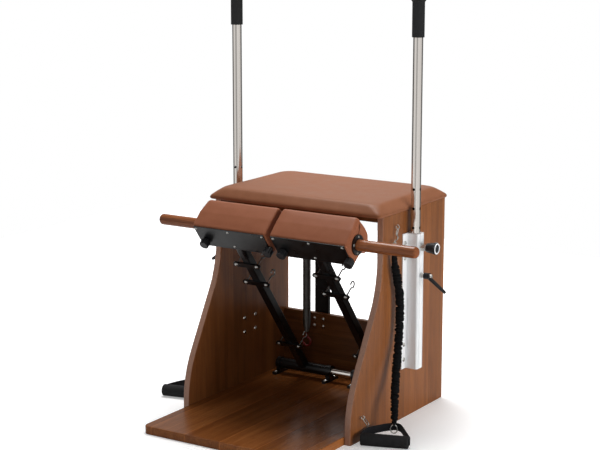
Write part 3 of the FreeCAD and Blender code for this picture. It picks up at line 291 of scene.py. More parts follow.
figure.links.new(strip_id["Value"], grain_out["Tone"])


def wood(name, axes, strip_width, dark, middle, light, tone=0.16, joint=0.30, gloss=(0.30, 0.42), shine=0.18,
         edge_sheen=None):
    """Varnished wood. axes names the Object axes across the strips, through the board and along the grain; the last
    argument is a painted sheen: a paler colour mixed into the faces that don't look along X, which are a side panel's
    edges."""
    made, tree, shader = finish(name, Specular_IOR_Level=shine)
    place = add(tree, "SeparateXYZ", {0: add(tree, "TexCoord").outputs["Object"]}).outputs
    turned = add(tree, "CombineXYZ", {i: place["XYZ".index(axis)] for i, axis in enumerate(axes)}).outputs[0]
    grain = add(tree, "Group", node_tree=figure)
    tree.links.new(turned, grain.inputs["Vector"])
    grain.inputs["Strip Width"].default_value = strip_width
    out = grain.outputs
    colour = ramp(tree, out["Figure"], (0.30, dark), (0.50, middle), (0.72, light))
    # Painted sheen: faces that don't look along X are mixed towards a paler colour that stands in for reflected
    # light.
    if edge_sheen:
        across = add(tree, "SeparateXYZ", {0: add(tree, "TexCoord").outputs["Normal"]}).outputs[0]
        rim = mapped(tree, calc(tree, "ABSOLUTE", across), (0.9, 0.3))
        colour = add(tree, "Mix", {0: rim, 6: colour, 7: (*edge_sheen, 1.0)}, data_type="RGBA").outputs[2]
    level = mapped(tree, out["Tone"], end=(1.0 - tone, 1.0 + tone * 0.6))
    level = calc(tree, "MULTIPLY", level, calc(tree, "SUBTRACT", 1.0, calc(tree, "MULTIPLY", out["Pores"], 0.35)))
    level = calc(tree, "MULTIPLY", level, calc(tree, "SUBTRACT", 1.0, calc(tree, "MULTIPLY", out["Joint"], joint)))
    dents = calc(tree, "MULTIPLY_ADD", out["Joint"], -1.0, calc(tree, "MULTIPLY", out["Pores"], -0.35))
    drive(tree, shader, Base_Color=shaded(tree, colour, level), Normal=bump(tree, 0.35, 0.0006, dents),
          Roughness=mapped(tree, out["Figure"], (0.3, 0.7), gloss))
    return made


def dress(material, *names):
    """Gives CAD nodes their material."""
    for name in names:
        for holder in cad[name].material_slots:
            holder.material = material


def both_sides(*names):
    """Names of nodes that the chair has on its left and on its right."""
    return [name + "_" + side for side, sign in SIDES for name in names]


walnut_dark, walnut_middle, walnut_light = (0.140, 0.043, 0.011), (0.225, 0.076, 0.021), (0.315, 0.118, 0.036)
# The side panels' edges get a paler, greyish colour as painted sheen.
side_wood = wood("walnut_sides", "YXZ", 0.072, walnut_dark, walnut_middle, walnut_light, joint=0.10, tone=0.12,
                 shine=0.42, edge_sheen=(0.400, 0.210, 0.140))
base_wood = wood("walnut_base", "XZY", 0.117, (0.175, 0.052, 0.012), (0.250, 0.080, 0.020), (0.360, 0.132, 0.038),
                 tone=0.20, joint=-0.80, gloss=(0.18, 0.28), shine=0.16)
# Painted shade: the back panel and seat board get a walnut about half as bright, for the shade inside the frame.
shaded_cross_wood = wood("walnut_cross_boards_darkened_for_shade", "ZYX", 0.070, (0.060, 0.018, 0.005), (0.110, 0.037, 0.010),
                  (0.175, 0.066, 0.020), shine=0.25)
dress(side_wood, *both_sides("side_panel"))
dress(base_wood, "base_board")
dress(shaded_cross_wood, "back_panel", "seat_board")


# ---- Metal and plastic hardware -----------------------------------------------------------
# Arms, trays, posts and brackets are powder coated satin black. Bolts and eyes are bright zinc plate, hooks and
# pedal screws a duller one, the axle and poles polished steel, the pole housings anodised extrusions, knobs and
# levers moulded plastic.

surface, worn_in, worn_out = effect(
    "fine_wear", (("Vector", "Vector"), ("Scale", "Float")), ("Smudge", "Peel"))
for label, value in (("Smudge", noise(surface, worn_in["Vector"], 38.0, 4.0, 0.6)),
                     ("Peel", noise(surface, worn_in["Vector"], worn_in["Scale"]))):
    surface.links.new(value, worn_out[label])


def hard_finish(name, colour, spread, rough, peel_scale, peel_depth, stretch=(1.0, 1.0, 1.0), **sockets):
    """Coated, plated or moulded finish: colour and gloss drift in smudges, and a fine peel roughens the skin."""
    made, tree, shader = finish(name, **sockets)
    wear = add(tree, "Group", node_tree=surface)
    tree.links.new(scaled(tree, add(tree, "TexCoord").outputs["Object"], stretch), wear.inputs["Vector"])
    wear.inputs["Scale"].default_value = peel_scale
    smudge = wear.outputs["Smudge"]
    low = tuple(c * (1.0 - spread) for c in colour)
    high = tuple(min(1.0, c * (1.0 + spread)) for c in colour)
    drive(tree, shader, Base_Color=ramp(tree, smudge, (0.35, low), (0.65, high)),
          Roughness=mapped(tree, smudge, (0.3, 0.7), rough), Normal=bump(tree, 0.3, peel_depth, wear.outputs["Peel"]))
    return made


black_steel = hard_finish("black_powder_coat", (0.0035, 0.0035, 0.0038), 0.25, (0.26, 0.38), 900.0, 0.00010,
                          Specular_IOR_Level=0.42)
bright_zinc = hard_finish("bright_zinc", (0.62, 0.61, 0.58), 0.10, (0.20, 0.34), 600.0, 0.00004, Metallic=1.0)
dull_zinc = hard_finish("dull_zinc", (0.30, 0.295, 0.28), 0.15, (0.26, 0.40), 600.0, 0.00004, Metallic=1.0)
polished = hard_finish("polished_steel", (0.66, 0.62, 0.58), 0.10, (0.11, 0.17), 900.0, 0.000004,
                       stretch=(1.0, 1.0, 0.02), Metallic=1.0)
extruded = hard_finish("anodised_extrusion", (0.90, 0.91, 0.92), 0.04, (0.24, 0.34), 1400.0, 0.00004,
                       stretch=(1.0, 1.0, 0.015), Metallic=0.15)
black_plastic = hard_finish("moulded_black_plastic", (0.008, 0.008, 0.009), 0.2, (0.34, 0.48), 1600.0, 0.00010,
                            Specular_IOR_Level=0.4)
black_rubber = hard_finish("moulded_grip_rubber", (0.012, 0.0125, 0.013), 0.15, (0.55, 0.68), 1300.0, 0.00012,
                           Specular_IOR_Level=0.3)
pale_nylon = hard_finish("turned_nylon", (0.62, 0.61, 0.57), 0.05, (0.4, 0.5), 900.0, 0.00005)
spring_wire = hard_finish("drawn_spring_wire", (0.17, 0.165, 0.155), 0.15, (0.26, 0.38), 900.0, 0.00003, Metallic=1.0)
red_dip = hard_finish("red_dipped_coating", (0.17, 0.011, 0.011), 0.2, (0.35, 0.5), 700.0, 0.00010)
dress(black_steel, "axle_brackets", *both_sides("spring_post", "pedal_arm", "hook_bars", "pedal_tray",
                                                "handle_flange"))
dress(bright_zinc, "frame_bolts", "hanger_pins", "housing_bolts", "plunger_nuts", "cord_eyes")
dress(dull_zinc, *both_sides("spring_hooks", "pedal_screws"))
dress(polished, "pivot_axle")
# Painted shade: the inside of the poles' bores and cross holes is darkened, as the shade in them.
tube_steel = polished.copy()
tube_steel.name = "polished_tube"
tube_tree = tube_steel.node_tree
tube_colour = tube_tree.nodes["Principled BSDF"].inputs["Base Color"]
tube_low, tube_high = np.array(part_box("handle_pole_right"))
tube_x, tube_y = ((tube_low + tube_high)[:2] / 2).tolist()
tube_radius = float(tube_high[0] - tube_low[0]) / 2
bore_depths, bore_shade = (0.0008, 0.0003), 0.012
tube_place = add(tube_tree, "SeparateXYZ", {0: add(tube_tree, "TexCoord").outputs["Object"]}).outputs
tube_aside = calc(tube_tree, "SUBTRACT", calc(tube_tree, "ABSOLUTE", tube_place[0]), tube_x)
tube_ahead = calc(tube_tree, "SUBTRACT", tube_place[1], tube_y)
tube_reach = calc(tube_tree, "SQRT", calc(tube_tree, "MULTIPLY_ADD", tube_aside, tube_aside, calc(
    tube_tree, "MULTIPLY", tube_ahead, tube_ahead)))
bore_painted_shade = mapped(tube_tree, tube_reach, [tube_radius - depth for depth in bore_depths], (bore_shade, 1.0))
tube_tree.links.new(shaded(tube_tree, tube_colour.links[0].from_socket, bore_painted_shade), tube_colour)
dress(tube_steel, *both_sides("handle_pole"))
dress(extruded, *both_sides("handle_housing"))
dress(black_plastic, *both_sides("tray_knob_inner", "tray_knob_outer", "plunger_knob", "clamp_lever"))
dress(black_rubber, *both_sides("pole_grip"))
dress(pale_nylon, *both_sides("pivot_bushes"))
dress(red_dip, *both_sides("spring_ring"))


# ---- Wooden dowel handles -----------------------------------------------------------------
# A round reddish dowel slides out of each pedal's end through a bolted flange.
# Its grain runs along its length under a gloss varnish.

dowel_wood = wood("varnished_dowel", "YZX", 0.5, (0.100, 0.026, 0.009), (0.250, 0.078, 0.027), (0.410, 0.152, 0.058),
                  tone=0.0, gloss=(0.16, 0.26), shine=0.2)
dress(dowel_wood, *both_sides("dowel_handle"))


# ---- Upholstery ---------------------------------------------------------------------------
# Seat and pedal pads are foam on board, covered in saddle-brown leatherette pulled tight and stapled underneath.
# The covers are swollen by simulation from a slightly smaller block, then held to the boards they rest on.

hide, hide_in, hide_out = effect("leatherette_grain", (("Vector", "Vector"),), ("Mottle", "Pebble"))
hide.links.new(noise(hide, hide_in["Vector"], 26.0, 5.0, 0.6), hide_out["Mottle"])
pebble = add(hide, "TexVoronoi", {"Vector": hide_in["Vector"], "Scale": 820.0},
             feature="SMOOTH_F1").outputs["Distance"]
pebble = calc(hide, "MULTIPLY_ADD", noise(hide, hide_in["Vector"], 300.0, 3.0), 0.5, pebble)
hide.links.new(pebble, hide_out["Pebble"])


def leatherette(name, dark, light):
    """Pebbled leatherette whose colour and gloss drift between a dark and a light tone."""
    made, tree, shader = finish(name, Specular_IOR_Level=0.10, Sheen_Weight=0.03, Sheen_Roughness=0.5)
    grain = add(tree, "Group", node_tree=hide)
    tree.links.new(add(tree, "TexCoord").outputs["Object"], grain.inputs["Vector"])
    mottle = grain.outputs["Mottle"]
    drive(tree, shader, Base_Color=ramp(tree, mottle, (0.32, dark), (0.68, light)),
          Roughness=mapped(tree, mottle, (0.3, 0.7), (0.40, 0.50)),
          Normal=bump(tree, 0.35, 0.0003, grain.outputs["Pebble"]))
    return made


seat_leather = leatherette("saddle_leatherette", (0.222, 0.085, 0.040), (0.248, 0.097, 0.047))
pad_leather = leatherette("pad_leatherette", (0.262, 0.090, 0.044), (0.290, 0.101, 0.050))


def rounded(points, radii, steps=9):
    """Closed outline through corner points, each corner an arc of its own radius, as one array of points."""
    points, radii = np.asarray(points, float), np.asarray(radii, float)
    into = points - np.roll(points, 1, 0)
    into /= np.linalg.norm(into, axis=1, keepdims=True)
    out = np.roll(into, -1, 0)
    turn = np.arctan2(into[:, 0] * out[:, 1] - into[:, 1] * out[:, 0], (into * out).sum(1))
    inward = np.stack([-into[:, 1], into[:, 0]], 1) * np.sign(turn)[:, None]
    start = points - into * (radii * np.tan(np.abs(turn) / 2))[:, None]
    centre = start + inward * radii[:, None]
    sweep_angle = turn[:, None] * np.linspace(0.0, 1.0, steps)[None, :]
    c, s = np.cos(sweep_angle)[..., None], np.sin(sweep_angle)[..., None]
    spoke = -inward[:, None] * radii[:, None, None]
    swung = spoke * c + np.stack([-spoke[..., 1], spoke[..., 0]], -1) * s
    return (centre[:, None] + swung).reshape(-1, 2)


def evenly(outline, count):
    """Closed outline again, as a number of points at equal steps along it."""
    ring = np.vstack([outline, outline[:1]])
    along = travelled(ring)
    steps = np.linspace(0.0, along[-1], count, endpoint=False)
    return np.stack([np.interp(steps, along, ring[:, i]) for i in range(2)], 1)


def coordinates(mesh):
    """The mesh's points as rows."""
    values = np.empty(len(mesh.vertices) * 3, np.float32)
    mesh.vertices.foreach_get("co", values)
    return values.reshape(-1, 3).astype(float)


def settled(piece):
    """The piece's mesh with its modifiers worked in."""
    return bpy.data.meshes.new_from_object(piece.evaluated_get(bpy.context.evaluated_depsgraph_get()))


def outward(mesh):
    """The mesh's point normals as rows."""
    values = np.empty(len(mesh.vertices) * 3, np.float32)
    mesh.vertex_normals.foreach_get("vector", values)
    return values.reshape(-1, 3).astype(float)


swell_frames, cover_gap = 20, 0.0002


def stuffed(piece, voxel, pressure, cap, hold):
    """Swells a sewn cover. An evenly remeshed copy is simulated as cloth under inner pressure; how far each place of
    the copy comes outward, up to a cap, moves the cover's nearby points along their normals. hold() keeps the cover
    on its board."""
    points, normals = coordinates(piece.data), outward(piece.data)
    copy = bpy.data.objects.new(piece.name + "_copy", piece.data.copy())
    scene.collection.objects.link(copy)
    even = copy.modifiers.new("even", "REMESH")
    even.mode = "VOXEL"
    even.voxel_size = voxel
    copy.data = settled(copy)
    copy.modifiers.clear()
    start, facing = coordinates(copy.data), outward(copy.data)
    cloth = copy.modifiers.new("swell", "CLOTH")
    cloth.settings.quality = 5
    cloth.settings.mass = 0.3
    cloth.settings.tension_stiffness = cloth.settings.compression_stiffness = 25.0
    cloth.settings.bending_stiffness = 1.5
    cloth.settings.use_pressure = True
    cloth.settings.uniform_pressure_force = pressure
    cloth.settings.effector_weights.gravity = 0.0
    for step in range(1, swell_frames + 1):
        scene.frame_set(step)
    gain = np.clip(((coordinates(settled(copy)) - start) * facing).sum(1), 0.0, cap)
    scene.frame_set(1)
    bpy.data.objects.remove(copy)
    spread = 2.0 * (1.6 * voxel) ** 2
    for block in np.array_split(np.arange(len(points)), max(1, len(points) // 400)):
        apart = (points[block] ** 2).sum(1)[:, None] + (start ** 2).sum(1) - 2.0 * points[block] @ start.T
        weight = np.exp(-np.maximum(apart, 0.0) / spread) + 1e-30
        points[block] += normals[block] * (weight @ gain / weight.sum(1))[:, None]
    piece.data.vertices.foreach_set("co", hold(points).astype(np.float32).ravel())
    piece.data.update()
    return piece


# Seat: a thin crowned cushion as wide as the frame, its sides sloping in above a short upright rim.
seat_low, seat_high = (np.array(corner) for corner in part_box("seat_cushion"))
seat_half = (seat_high - seat_low)[:2] / 2
seat_middle = (seat_high + seat_low)[:2] / 2
seat_corner, corner_gain = 0.010, 0.9
seat_slack = (0.002, 0.003)
seat_rest = seat_low[2] + cover_gap
# Levels of the block: how far each is drawn in from the rim, and how high it is above the seat board.
seat_levels = [(0.0060, 0.0000), (0.0016, 0.0006), (0.0004, 0.0024), (0.0000, 0.0055), (0.0005, 0.0085),
               (0.0025, 0.0118), (0.0065, 0.0158), (0.0110, 0.0200), (0.0155, 0.0240), (0.0195, 0.0274),
               (0.0225, 0.0297), (0.0255, 0.0314), (0.0290, 0.0326), (0.0340, 0.0333), (0.0420, 0.0337),
               (0.0600, 0.0340)]
seat_rings = [evenly(rounded((seat_half - inset) * np.array([(-1, -1), (1, -1), (1, 1), (-1, 1)]),
                             [seat_corner + corner_gain * inset] * 4), 320) for inset, rise in seat_levels]
# Rings that close the underside, and rings that close the crown with their heights.
under, over = (0.02, 0.4, 0.8), ((0.85, 0.0342), (0.65, 0.0345), (0.42, 0.0347), (0.2, 0.0348), (0.02, 0.0348))
seat_flat = np.array([seat_rings[0] * close for close in under] + seat_rings
                     + [seat_rings[-1] * close for close, rise in over])
seat_rise = np.array([0.0] * len(under) + [rise for inset, rise in [*seat_levels, *over]])
seat_grid = np.concatenate([seat_flat + seat_middle, np.broadcast_to(
    seat_rise[:, None, None] + seat_rest, seat_flat.shape[:2] + (1,))], -1)
cushion = skin("seat_cover", seat_grid)


def hold_seat(points):
    """Keeps the cover near the cushion's box and no lower than the seat board."""
    points = np.clip(points, seat_low - seat_slack[0], seat_high + seat_slack[1])
    points[:, 2] = np.maximum(points[:, 2], seat_rest)
    return points


stuffed(cushion, 0.0055, 4.0, 0.0010, hold_seat)
cushion.data.materials.append(seat_leather)
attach(cushion, "frame")
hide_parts("seat_cushion")

# Pedal pads: a firm roll behind each tray, flat where the tray holds it and at its ends.
pedal_lean = math.radians(37.4)
axle_y, axle_z = 0.268, 0.054
lean_cos, lean_sin = math.cos(pedal_lean), math.sin(pedal_lean)


def leaned(points):
    """Pedal places (across, back, up the arm) as places in the chair."""
    x, back, up = np.moveaxis(np.asarray(points, float), -1, 0)
    return np.stack([x, axle_y + back * lean_cos - up * lean_sin, axle_z + back * lean_sin + up * lean_cos], -1)


def upright(points):
    """The other way round: places in the chair as pedal places."""
    x, y, z = np.moveaxis(points, -1, 0)
    y, z = y - axle_y, z - axle_z
    return np.stack([x, y * lean_cos + z * lean_sin, z * lean_cos - y * lean_sin], -1)


pad_front, pad_bottom, pad_top = -0.021, 0.5685, 0.6475
pad_ends = (0.007, 0.256)
pad_outline = evenly(rounded(
    [(pad_front, pad_bottom), (0.022, pad_bottom), (0.052, 0.5365), (0.083, 0.5815), (0.0845, 0.6205),
     (0.0810, 0.6550), (0.029, 0.6536), (pad_front, pad_top)],
    [0.006, 0.016, 0.016, 0.016, 0.016, 0.012, 0.060, 0.007]), 150)
pad_normal = np.roll(pad_outline, -1, 0) - np.roll(pad_outline, 1, 0)
pad_normal = np.stack([pad_normal[:, 1], -pad_normal[:, 0]], 1)
pad_normal /= np.linalg.norm(pad_normal, axis=1, keepdims=True)
pad_edge, pad_corner = 0.0060, 0.0100
pad_centre = np.array([0.030, 0.606])
end_closing = (0.15, 0.45, 0.75, 0.92)
edge_turn = np.linspace(0.0, np.pi / 2, 7)[:, None]


def end_rows(edge):
    """Rows at a pad's end, for an edge radius at each outline point: closing rows on the end face, then the rounded
    edge. Gives how far each row is from the end, how far it is drawn in, and how far it is closed to the centre."""
    face = (len(end_closing), len(edge))
    off = np.vstack([np.zeros(face), edge * (1.0 - np.cos(edge_turn))])
    drawn = np.vstack([np.broadcast_to(edge, face), edge * (1.0 - np.sin(edge_turn))])
    return off, drawn, np.array([*end_closing] + [1.0] * len(edge_turn))


# The outer end's upper rear corner is rounder than its other edges.
rearness = np.clip((pad_outline - (0.030, 0.600)) / (0.040, 0.030), 0.0, 1.0).prod(1)
near_off, near_drawn, closing = end_rows(np.full(len(pad_outline), pad_edge))
far_off, far_drawn, closing = end_rows(pad_edge + pad_corner * rearness)
near_clear, far_clear = 0.010, 0.019
length_rows = np.linspace(pad_ends[0] + near_clear, pad_ends[1] - far_clear, 56)
pad_x = np.vstack([pad_ends[0] + near_off, np.repeat(length_rows[:, None], len(pad_outline), 1),
                   (pad_ends[1] - far_off)[::-1]])
pad_inset = np.vstack([near_drawn, np.zeros((len(length_rows), len(pad_outline))), far_drawn[::-1]])
pad_close = np.concatenate([closing, np.ones(len(length_rows)), closing[::-1]])[:, None, None]
pad_slack, lip_reach = 0.0006, 0.020
for side, sign in SIDES:
    shrunk = pad_outline[None] - pad_normal[None] * (pad_inset[..., None] + pad_slack)
    shrunk = pad_centre + (shrunk - pad_centre) * pad_close
    block = np.concatenate([pad_x[..., None], shrunk], -1)
    pad = skin("pedal_pad_cover_" + side, leaned(block) * (sign, 1.0, 1.0))

    def hold_pad(points):
        """Keeps the cover between its ends, behind the tray's plate and above the tray's lip."""
        place = upright(points * (sign, 1.0, 1.0))
        place[:, 0] = np.clip(place[:, 0], pad_ends[0], pad_ends[1] - cover_gap)
        place[:, 1] = np.maximum(place[:, 1], pad_front + cover_gap)
        on_lip = place[:, 1] < lip_reach
        place[on_lip, 2] = np.maximum(place[on_lip, 2], pad_bottom + cover_gap)
        return leaned(place) * (sign, 1.0, 1.0)

    stuffed(pad, 0.0045, 4.0, 0.0016, hold_pad)
    pad.data.materials.append(pad_leather)
    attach(pad, "pedal_" + side)
    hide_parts("pedal_pad_" + side)


# ---- Springs ------------------------------------------------------------------------------
# One close-wound extension spring hangs behind each pedal from a pin under the seat.
# Its wire lies turn on turn, and its last turns close in to a plug with a red pull ring.

def carried(section, line, up):
    """Section points (across, up) carried square to a line, with a rough upward direction at each of its points."""
    run = np.gradient(line, axis=0)
    run /= np.linalg.norm(run, axis=1, keepdims=True)
    across = np.cross(run, up)
    across /= np.linalg.norm(across, axis=1, keepdims=True)
    rise = np.cross(across, run)
    section = np.asarray(section, float)
    section = np.broadcast_to(section, (len(line),) + section.shape[-2:])
    return line[:, None] + across[:, None] * section[..., :1] + rise[:, None] * section[..., 1:]


def circle(radius, count):
    """Points at equal steps round a circle."""
    turn = np.linspace(0.0, 2.0 * np.pi, count, endpoint=False)
    return radius * np.stack([np.cos(turn), np.sin(turn)], 1)


def turned(name, profile, centre, axis, count=40, crease=40):
    """Surface of revolution: (radius, height) points of a profile turned about an axis through a centre."""
    axis = np.asarray(axis, float) / np.linalg.norm(axis)
    helper = np.eye(3)[np.argmin(np.abs(axis))]
    first = np.cross(axis, helper)
    first /= np.linalg.norm(first)
    second = np.cross(axis, first)
    profile = np.asarray(profile, float)
    ring = circle(1.0, count)
    spokes = ring[:, :1] * first + ring[:, 1:] * second
    grid = np.asarray(centre) + profile[:, :1, None] * spokes[None] + profile[:, 1:, None] * axis
    return skin(name, grid, crease=crease)


upward = np.array([0.0, 0.0, 1.0])
spring_x, spring_y = 0.135, 0.279
spring_top, cone_top, spring_foot = 0.546, 0.190, 0.164
spring_radius, wire_radius = 0.0112, 0.00125
turn_count = int((spring_top - spring_foot) / (2.04 * wire_radius))
wound = np.linspace(0.0, 1.0, turn_count * 18 + 1)
taper = np.interp(wound, [0.0, (spring_top - cone_top) / (spring_top - spring_foot), 1.0], [1.0, 1.0, 0.48])
for side, sign in SIDES:
    angle = 2.0 * np.pi * turn_count * wound
    coil = np.stack([sign * spring_x + spring_radius * taper * np.cos(angle),
                     spring_y + spring_radius * taper * np.sin(angle),
                     spring_top + (spring_foot - spring_top) * wound], 1)
    coil_piece = skin("spring_coil_" + side, carried(circle(wire_radius, 6), coil, upward))
    plug = turned("spring_plug_" + side, [(0.0005, 0.169), (0.0058, 0.169), (0.0062, 0.166), (0.0055, 0.163),
                                          (0.0046, 0.161), (0.0005, 0.161)],
                  (sign * spring_x, spring_y, 0.0), upward, 24)
    head = turned("spring_head_" + side, [(0.0005, 0.543), (0.0118, 0.543), (0.0125, 0.545), (0.0125, 0.550),
                                          (0.0115, 0.552), (0.0070, 0.553), (0.0066, 0.572), (0.0050, 0.576),
                                          (0.0005, 0.577)], (sign * spring_x, spring_y, 0.0), upward, 28)
    for piece in (coil_piece, plug, head):
        piece.data.materials.append(spring_wire)
        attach(piece, "spring_" + side)
        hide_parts("spring_coils_" + side)


# ---- Clamp lever and plunger trim ---------------------------------------------------------
# The plastic lever turns on a steel stud: a bright collar shows at the housing and a domed screw at the hub's end.
# The sprung plunger knob has a bright ring let into its outer end.

housing_face, lever_y, lever_z = 0.325, 0.1593, 0.424
knob_foot, plunger_z = 0.3423, 0.506
for side, sign in SIDES:
    collar = turned("lever_collar_" + side, [(0.0071, 0.0004), (0.0074, 0.0008), (0.0074, 0.0094), (0.0071, 0.0099)],
                    (sign * housing_face, lever_y, lever_z), (sign, 0.0, 0.0), 28)
    dome = turned("lever_screw_" + side, [(0.0057, 0.0282), (0.0060, 0.0290), (0.0060, 0.0325), (0.0052, 0.0342),
                                          (0.0034, 0.0348), (0.0030, 0.0334), (0.0004, 0.0334)],
                  (sign * housing_face, lever_y, lever_z), (sign, 0.0, 0.0), 28)
    bezel = turned("plunger_bezel_" + side, [(0.0116, 0.0305), (0.0116, 0.0322), (0.0122, 0.0330), (0.0150, 0.0330),
                                             (0.0158, 0.0322), (0.0158, 0.0305)],
                   (sign * knob_foot, lever_y, plunger_z), (sign, 0.0, 0.0), 40)
    for piece, body, coat in ((collar, "lever_", bright_zinc), (dome, "lever_", bright_zinc),
                              (bezel, "plunger_", extruded)):
        piece.data.materials.append(coat)
        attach(piece, body + side)


# ---- Stretch cords ------------------------------------------------------------------------
# A stretch cord in a gathered black sleeve hangs by a fork, hook and link from each side's upper eye.
# Its lower end carries a steel ring and a webbing loop through a foam hand grip that lies on the floor.

sleeve, sleeve_tree, sleeve_shader = finish("gathered_sleeve", Roughness=0.9, Specular_IOR_Level=0.12)
threads = add(sleeve_tree, "TexWave", {"Vector": add(sleeve_tree, "UVMap").outputs[0], "Scale": 320.0,
                                       "Distortion": 1.5}, bands_direction="DIAGONAL").outputs[1]
fuzz = noise(sleeve_tree, add(sleeve_tree, "TexCoord").outputs["Object"], 240.0, 4.0, 0.7)
drive(sleeve_tree, sleeve_shader,
      Base_Color=ramp(sleeve_tree, fuzz, (0.3, (0.0030, 0.0030, 0.0032)), (0.7, (0.0080, 0.0080, 0.0084))),
      Normal=bump(sleeve_tree, 0.5, 0.0004, calc(sleeve_tree, "MULTIPLY_ADD", threads, 0.5, fuzz)))

webbing, web_tree, web_shader = finish("woven_webbing", Roughness=0.75, Specular_IOR_Level=0.25)
web_place = add(web_tree, "UVMap").outputs[0]
ribs = add(web_tree, "TexWave", {"Vector": scaled(web_tree, web_place, (0.35, 1.0, 1.0)), "Scale": 190.0,
                                 "Distortion": 0.6}, bands_direction="DIAGONAL").outputs[1]
drive(web_tree, web_shader, Normal=bump(web_tree, 0.6, 0.0004, ribs),
      Base_Color=ramp(web_tree, ribs, (0.2, (0.005, 0.005, 0.006)), (0.8, (0.016, 0.016, 0.018))))

foam, foam_tree, foam_shader = finish("closed_cell_foam", Specular_IOR_Level=0.22)
foam_place = add(foam_tree, "TexCoord").outputs["Object"]
cells = add(foam_tree, "TexVoronoi", {"Vector": foam_place, "Scale": 900.0}).outputs["Distance"]
blotch = noise(foam_tree, foam_place, 60.0, 4.0)
drive(foam_tree, foam_shader, Normal=bump(foam_tree, 0.4, 0.0003, cells),
      Base_Color=ramp(foam_tree, blotch, (0.3, (0.010, 0.010, 0.010)), (0.7, (0.019, 0.019, 0.020))),
      Roughness=mapped(foam_tree, blotch, end=(0.7, 0.9)))

cord_routes = {
    "right": [(0.300, 0.047, 0.512), (0.300, 0.047, 0.478), (0.302, 0.062, 0.434), (0.304, 0.076, 0.375),
              (0.305, 0.074, 0.300), (0.309, 0.057, 0.214), (0.324, 0.018, 0.134), (0.346, -0.023, 0.073),
              (0.346, -0.023, 0.042)],
    "left": [(-0.300, 0.066, 0.512), (-0.300, 0.066, 0.478), (-0.302, 0.058, 0.430), (-0.304, 0.048, 0.375),
             (-0.306, 0.050, 0.300), (-0.311, 0.064, 0.214), (-0.320, 0.088, 0.130), (-0.333, 0.108, 0.075),
             (-0.333, 0.108, 0.042)],
}
grip_ends = {"right": [(0.302, -0.132, 0.0175), (0.428, -0.0885, 0.0175)],
             "left": [(-0.301, -0.033, 0.0175), (-0.429, -0.063, 0.0175)]}
cord_radius, grip_radius, grip_bore, grip_lip = 0.0110, 0.0175, 0.0110, 0.0035
link_wire, hook_wire, fork_wire, ring_wire = 0.0014, 0.0017, 0.0016, 0.0019
eye_x, link_reach, small_bow, clip_bow = 0.2945, 0.0175, 0.0034, 0.0060
ring_half, ring_ahead, ring_rise = (0.0100, 0.0122), 0.0030, 0.0065
mouth_out, mouth_aside = 0.0020, 0.0080
apex_back, apex_rise, apex_along = 0.0040, 0.0120, (-0.0080, 0.0160)
strap_half_thick, strap_rows, tucked, bent = 0.0011, 160, 0.030, 0.008
# Half widths of the webbing, from the middle of its loop to its ends in the grip.
strap_shares = [0.0, 0.08, 0.30, 0.62, 0.76, 0.86, 1.0]
strap_half_widths = [0.0105, 0.0108, 0.0112, 0.0112, 0.0092, 0.0060, 0.0058]
rearward = np.array([0.0, 1.0, 0.0])


def smooth_line(points):
    """Points read along the NURBS curve whose control points are the route."""
    data = bpy.data.curves.new("route", "CURVE")
    data.dimensions = "3D"
    data.resolution_u = 64
    spline = data.splines.new("NURBS")
    spline.points.add(len(points) - 1)
    spline.points.foreach_set("co", np.column_stack([points, np.ones(len(points))]).ravel())
    spline.order_u = 3
    spline.use_endpoint_u = True
    holder = bpy.data.objects.new("route", data)
    scene.collection.objects.link(holder)
    bpy.context.view_layer.update()
    line = coordinates(settled(holder))
    bpy.data.objects.remove(holder)
    return line


def spaced(line, count):
    """Open line again, as a number of points at equal steps."""
    along = travelled(line)
    steps = np.linspace(0.0, along[-1], count)
    return np.stack([np.interp(steps, along, line[:, i]) for i in range(3)], 1), steps


def soft_curve(points, count):
    """Uniform cubic B-spline that starts and ends on its first and last point."""
    points = np.asarray(points, float)
    points = np.vstack([2 * points[0] - points[1], points, 2 * points[-1] - points[-2]])
    t = np.linspace(0.0, len(points) - 3 - 1e-9, count)
    i, f = t.astype(int), (t % 1.0)[:, None]
    weights = ((1 - f) ** 3, 3 * f ** 3 - 6 * f ** 2 + 4, -3 * f ** 3 + 3 * f ** 2 + 3 * f + 1, f ** 3)
    return sum(w * points[i + k] for k, w in enumerate(weights)) / 6.0


def wire_loop(name, line, radius, up):
    """Round wire carried round a closed line."""
    closed = np.vstack([line[-2:], line, line[:2]])
    grid = carried(circle(radius, 10), closed, up)[2:-2]
    return skin(name, grid, loop_rows=True)


def pear(start, end, narrow, wide, count=56):
    """Closed pear-shaped link from a narrow bow at its start to a wide bow at its end, flat in an upright plane."""
    start, end = np.asarray(start, float), np.asarray(end, float)
    along = (end - start) / np.linalg.norm(end - start)
    aside = rearward - along * along[1]
    aside /= np.linalg.norm(aside)
    span = np.linalg.norm(end - start)
    outline = evenly(rounded([(0.0, -narrow), (span, -wide), (span, wide), (0.0, narrow)],
                             [narrow * 0.95, wide * 0.85, wide * 0.85, narrow * 0.95]), count)
    return start + outline[:, :1] * along + outline[:, 1:] * aside


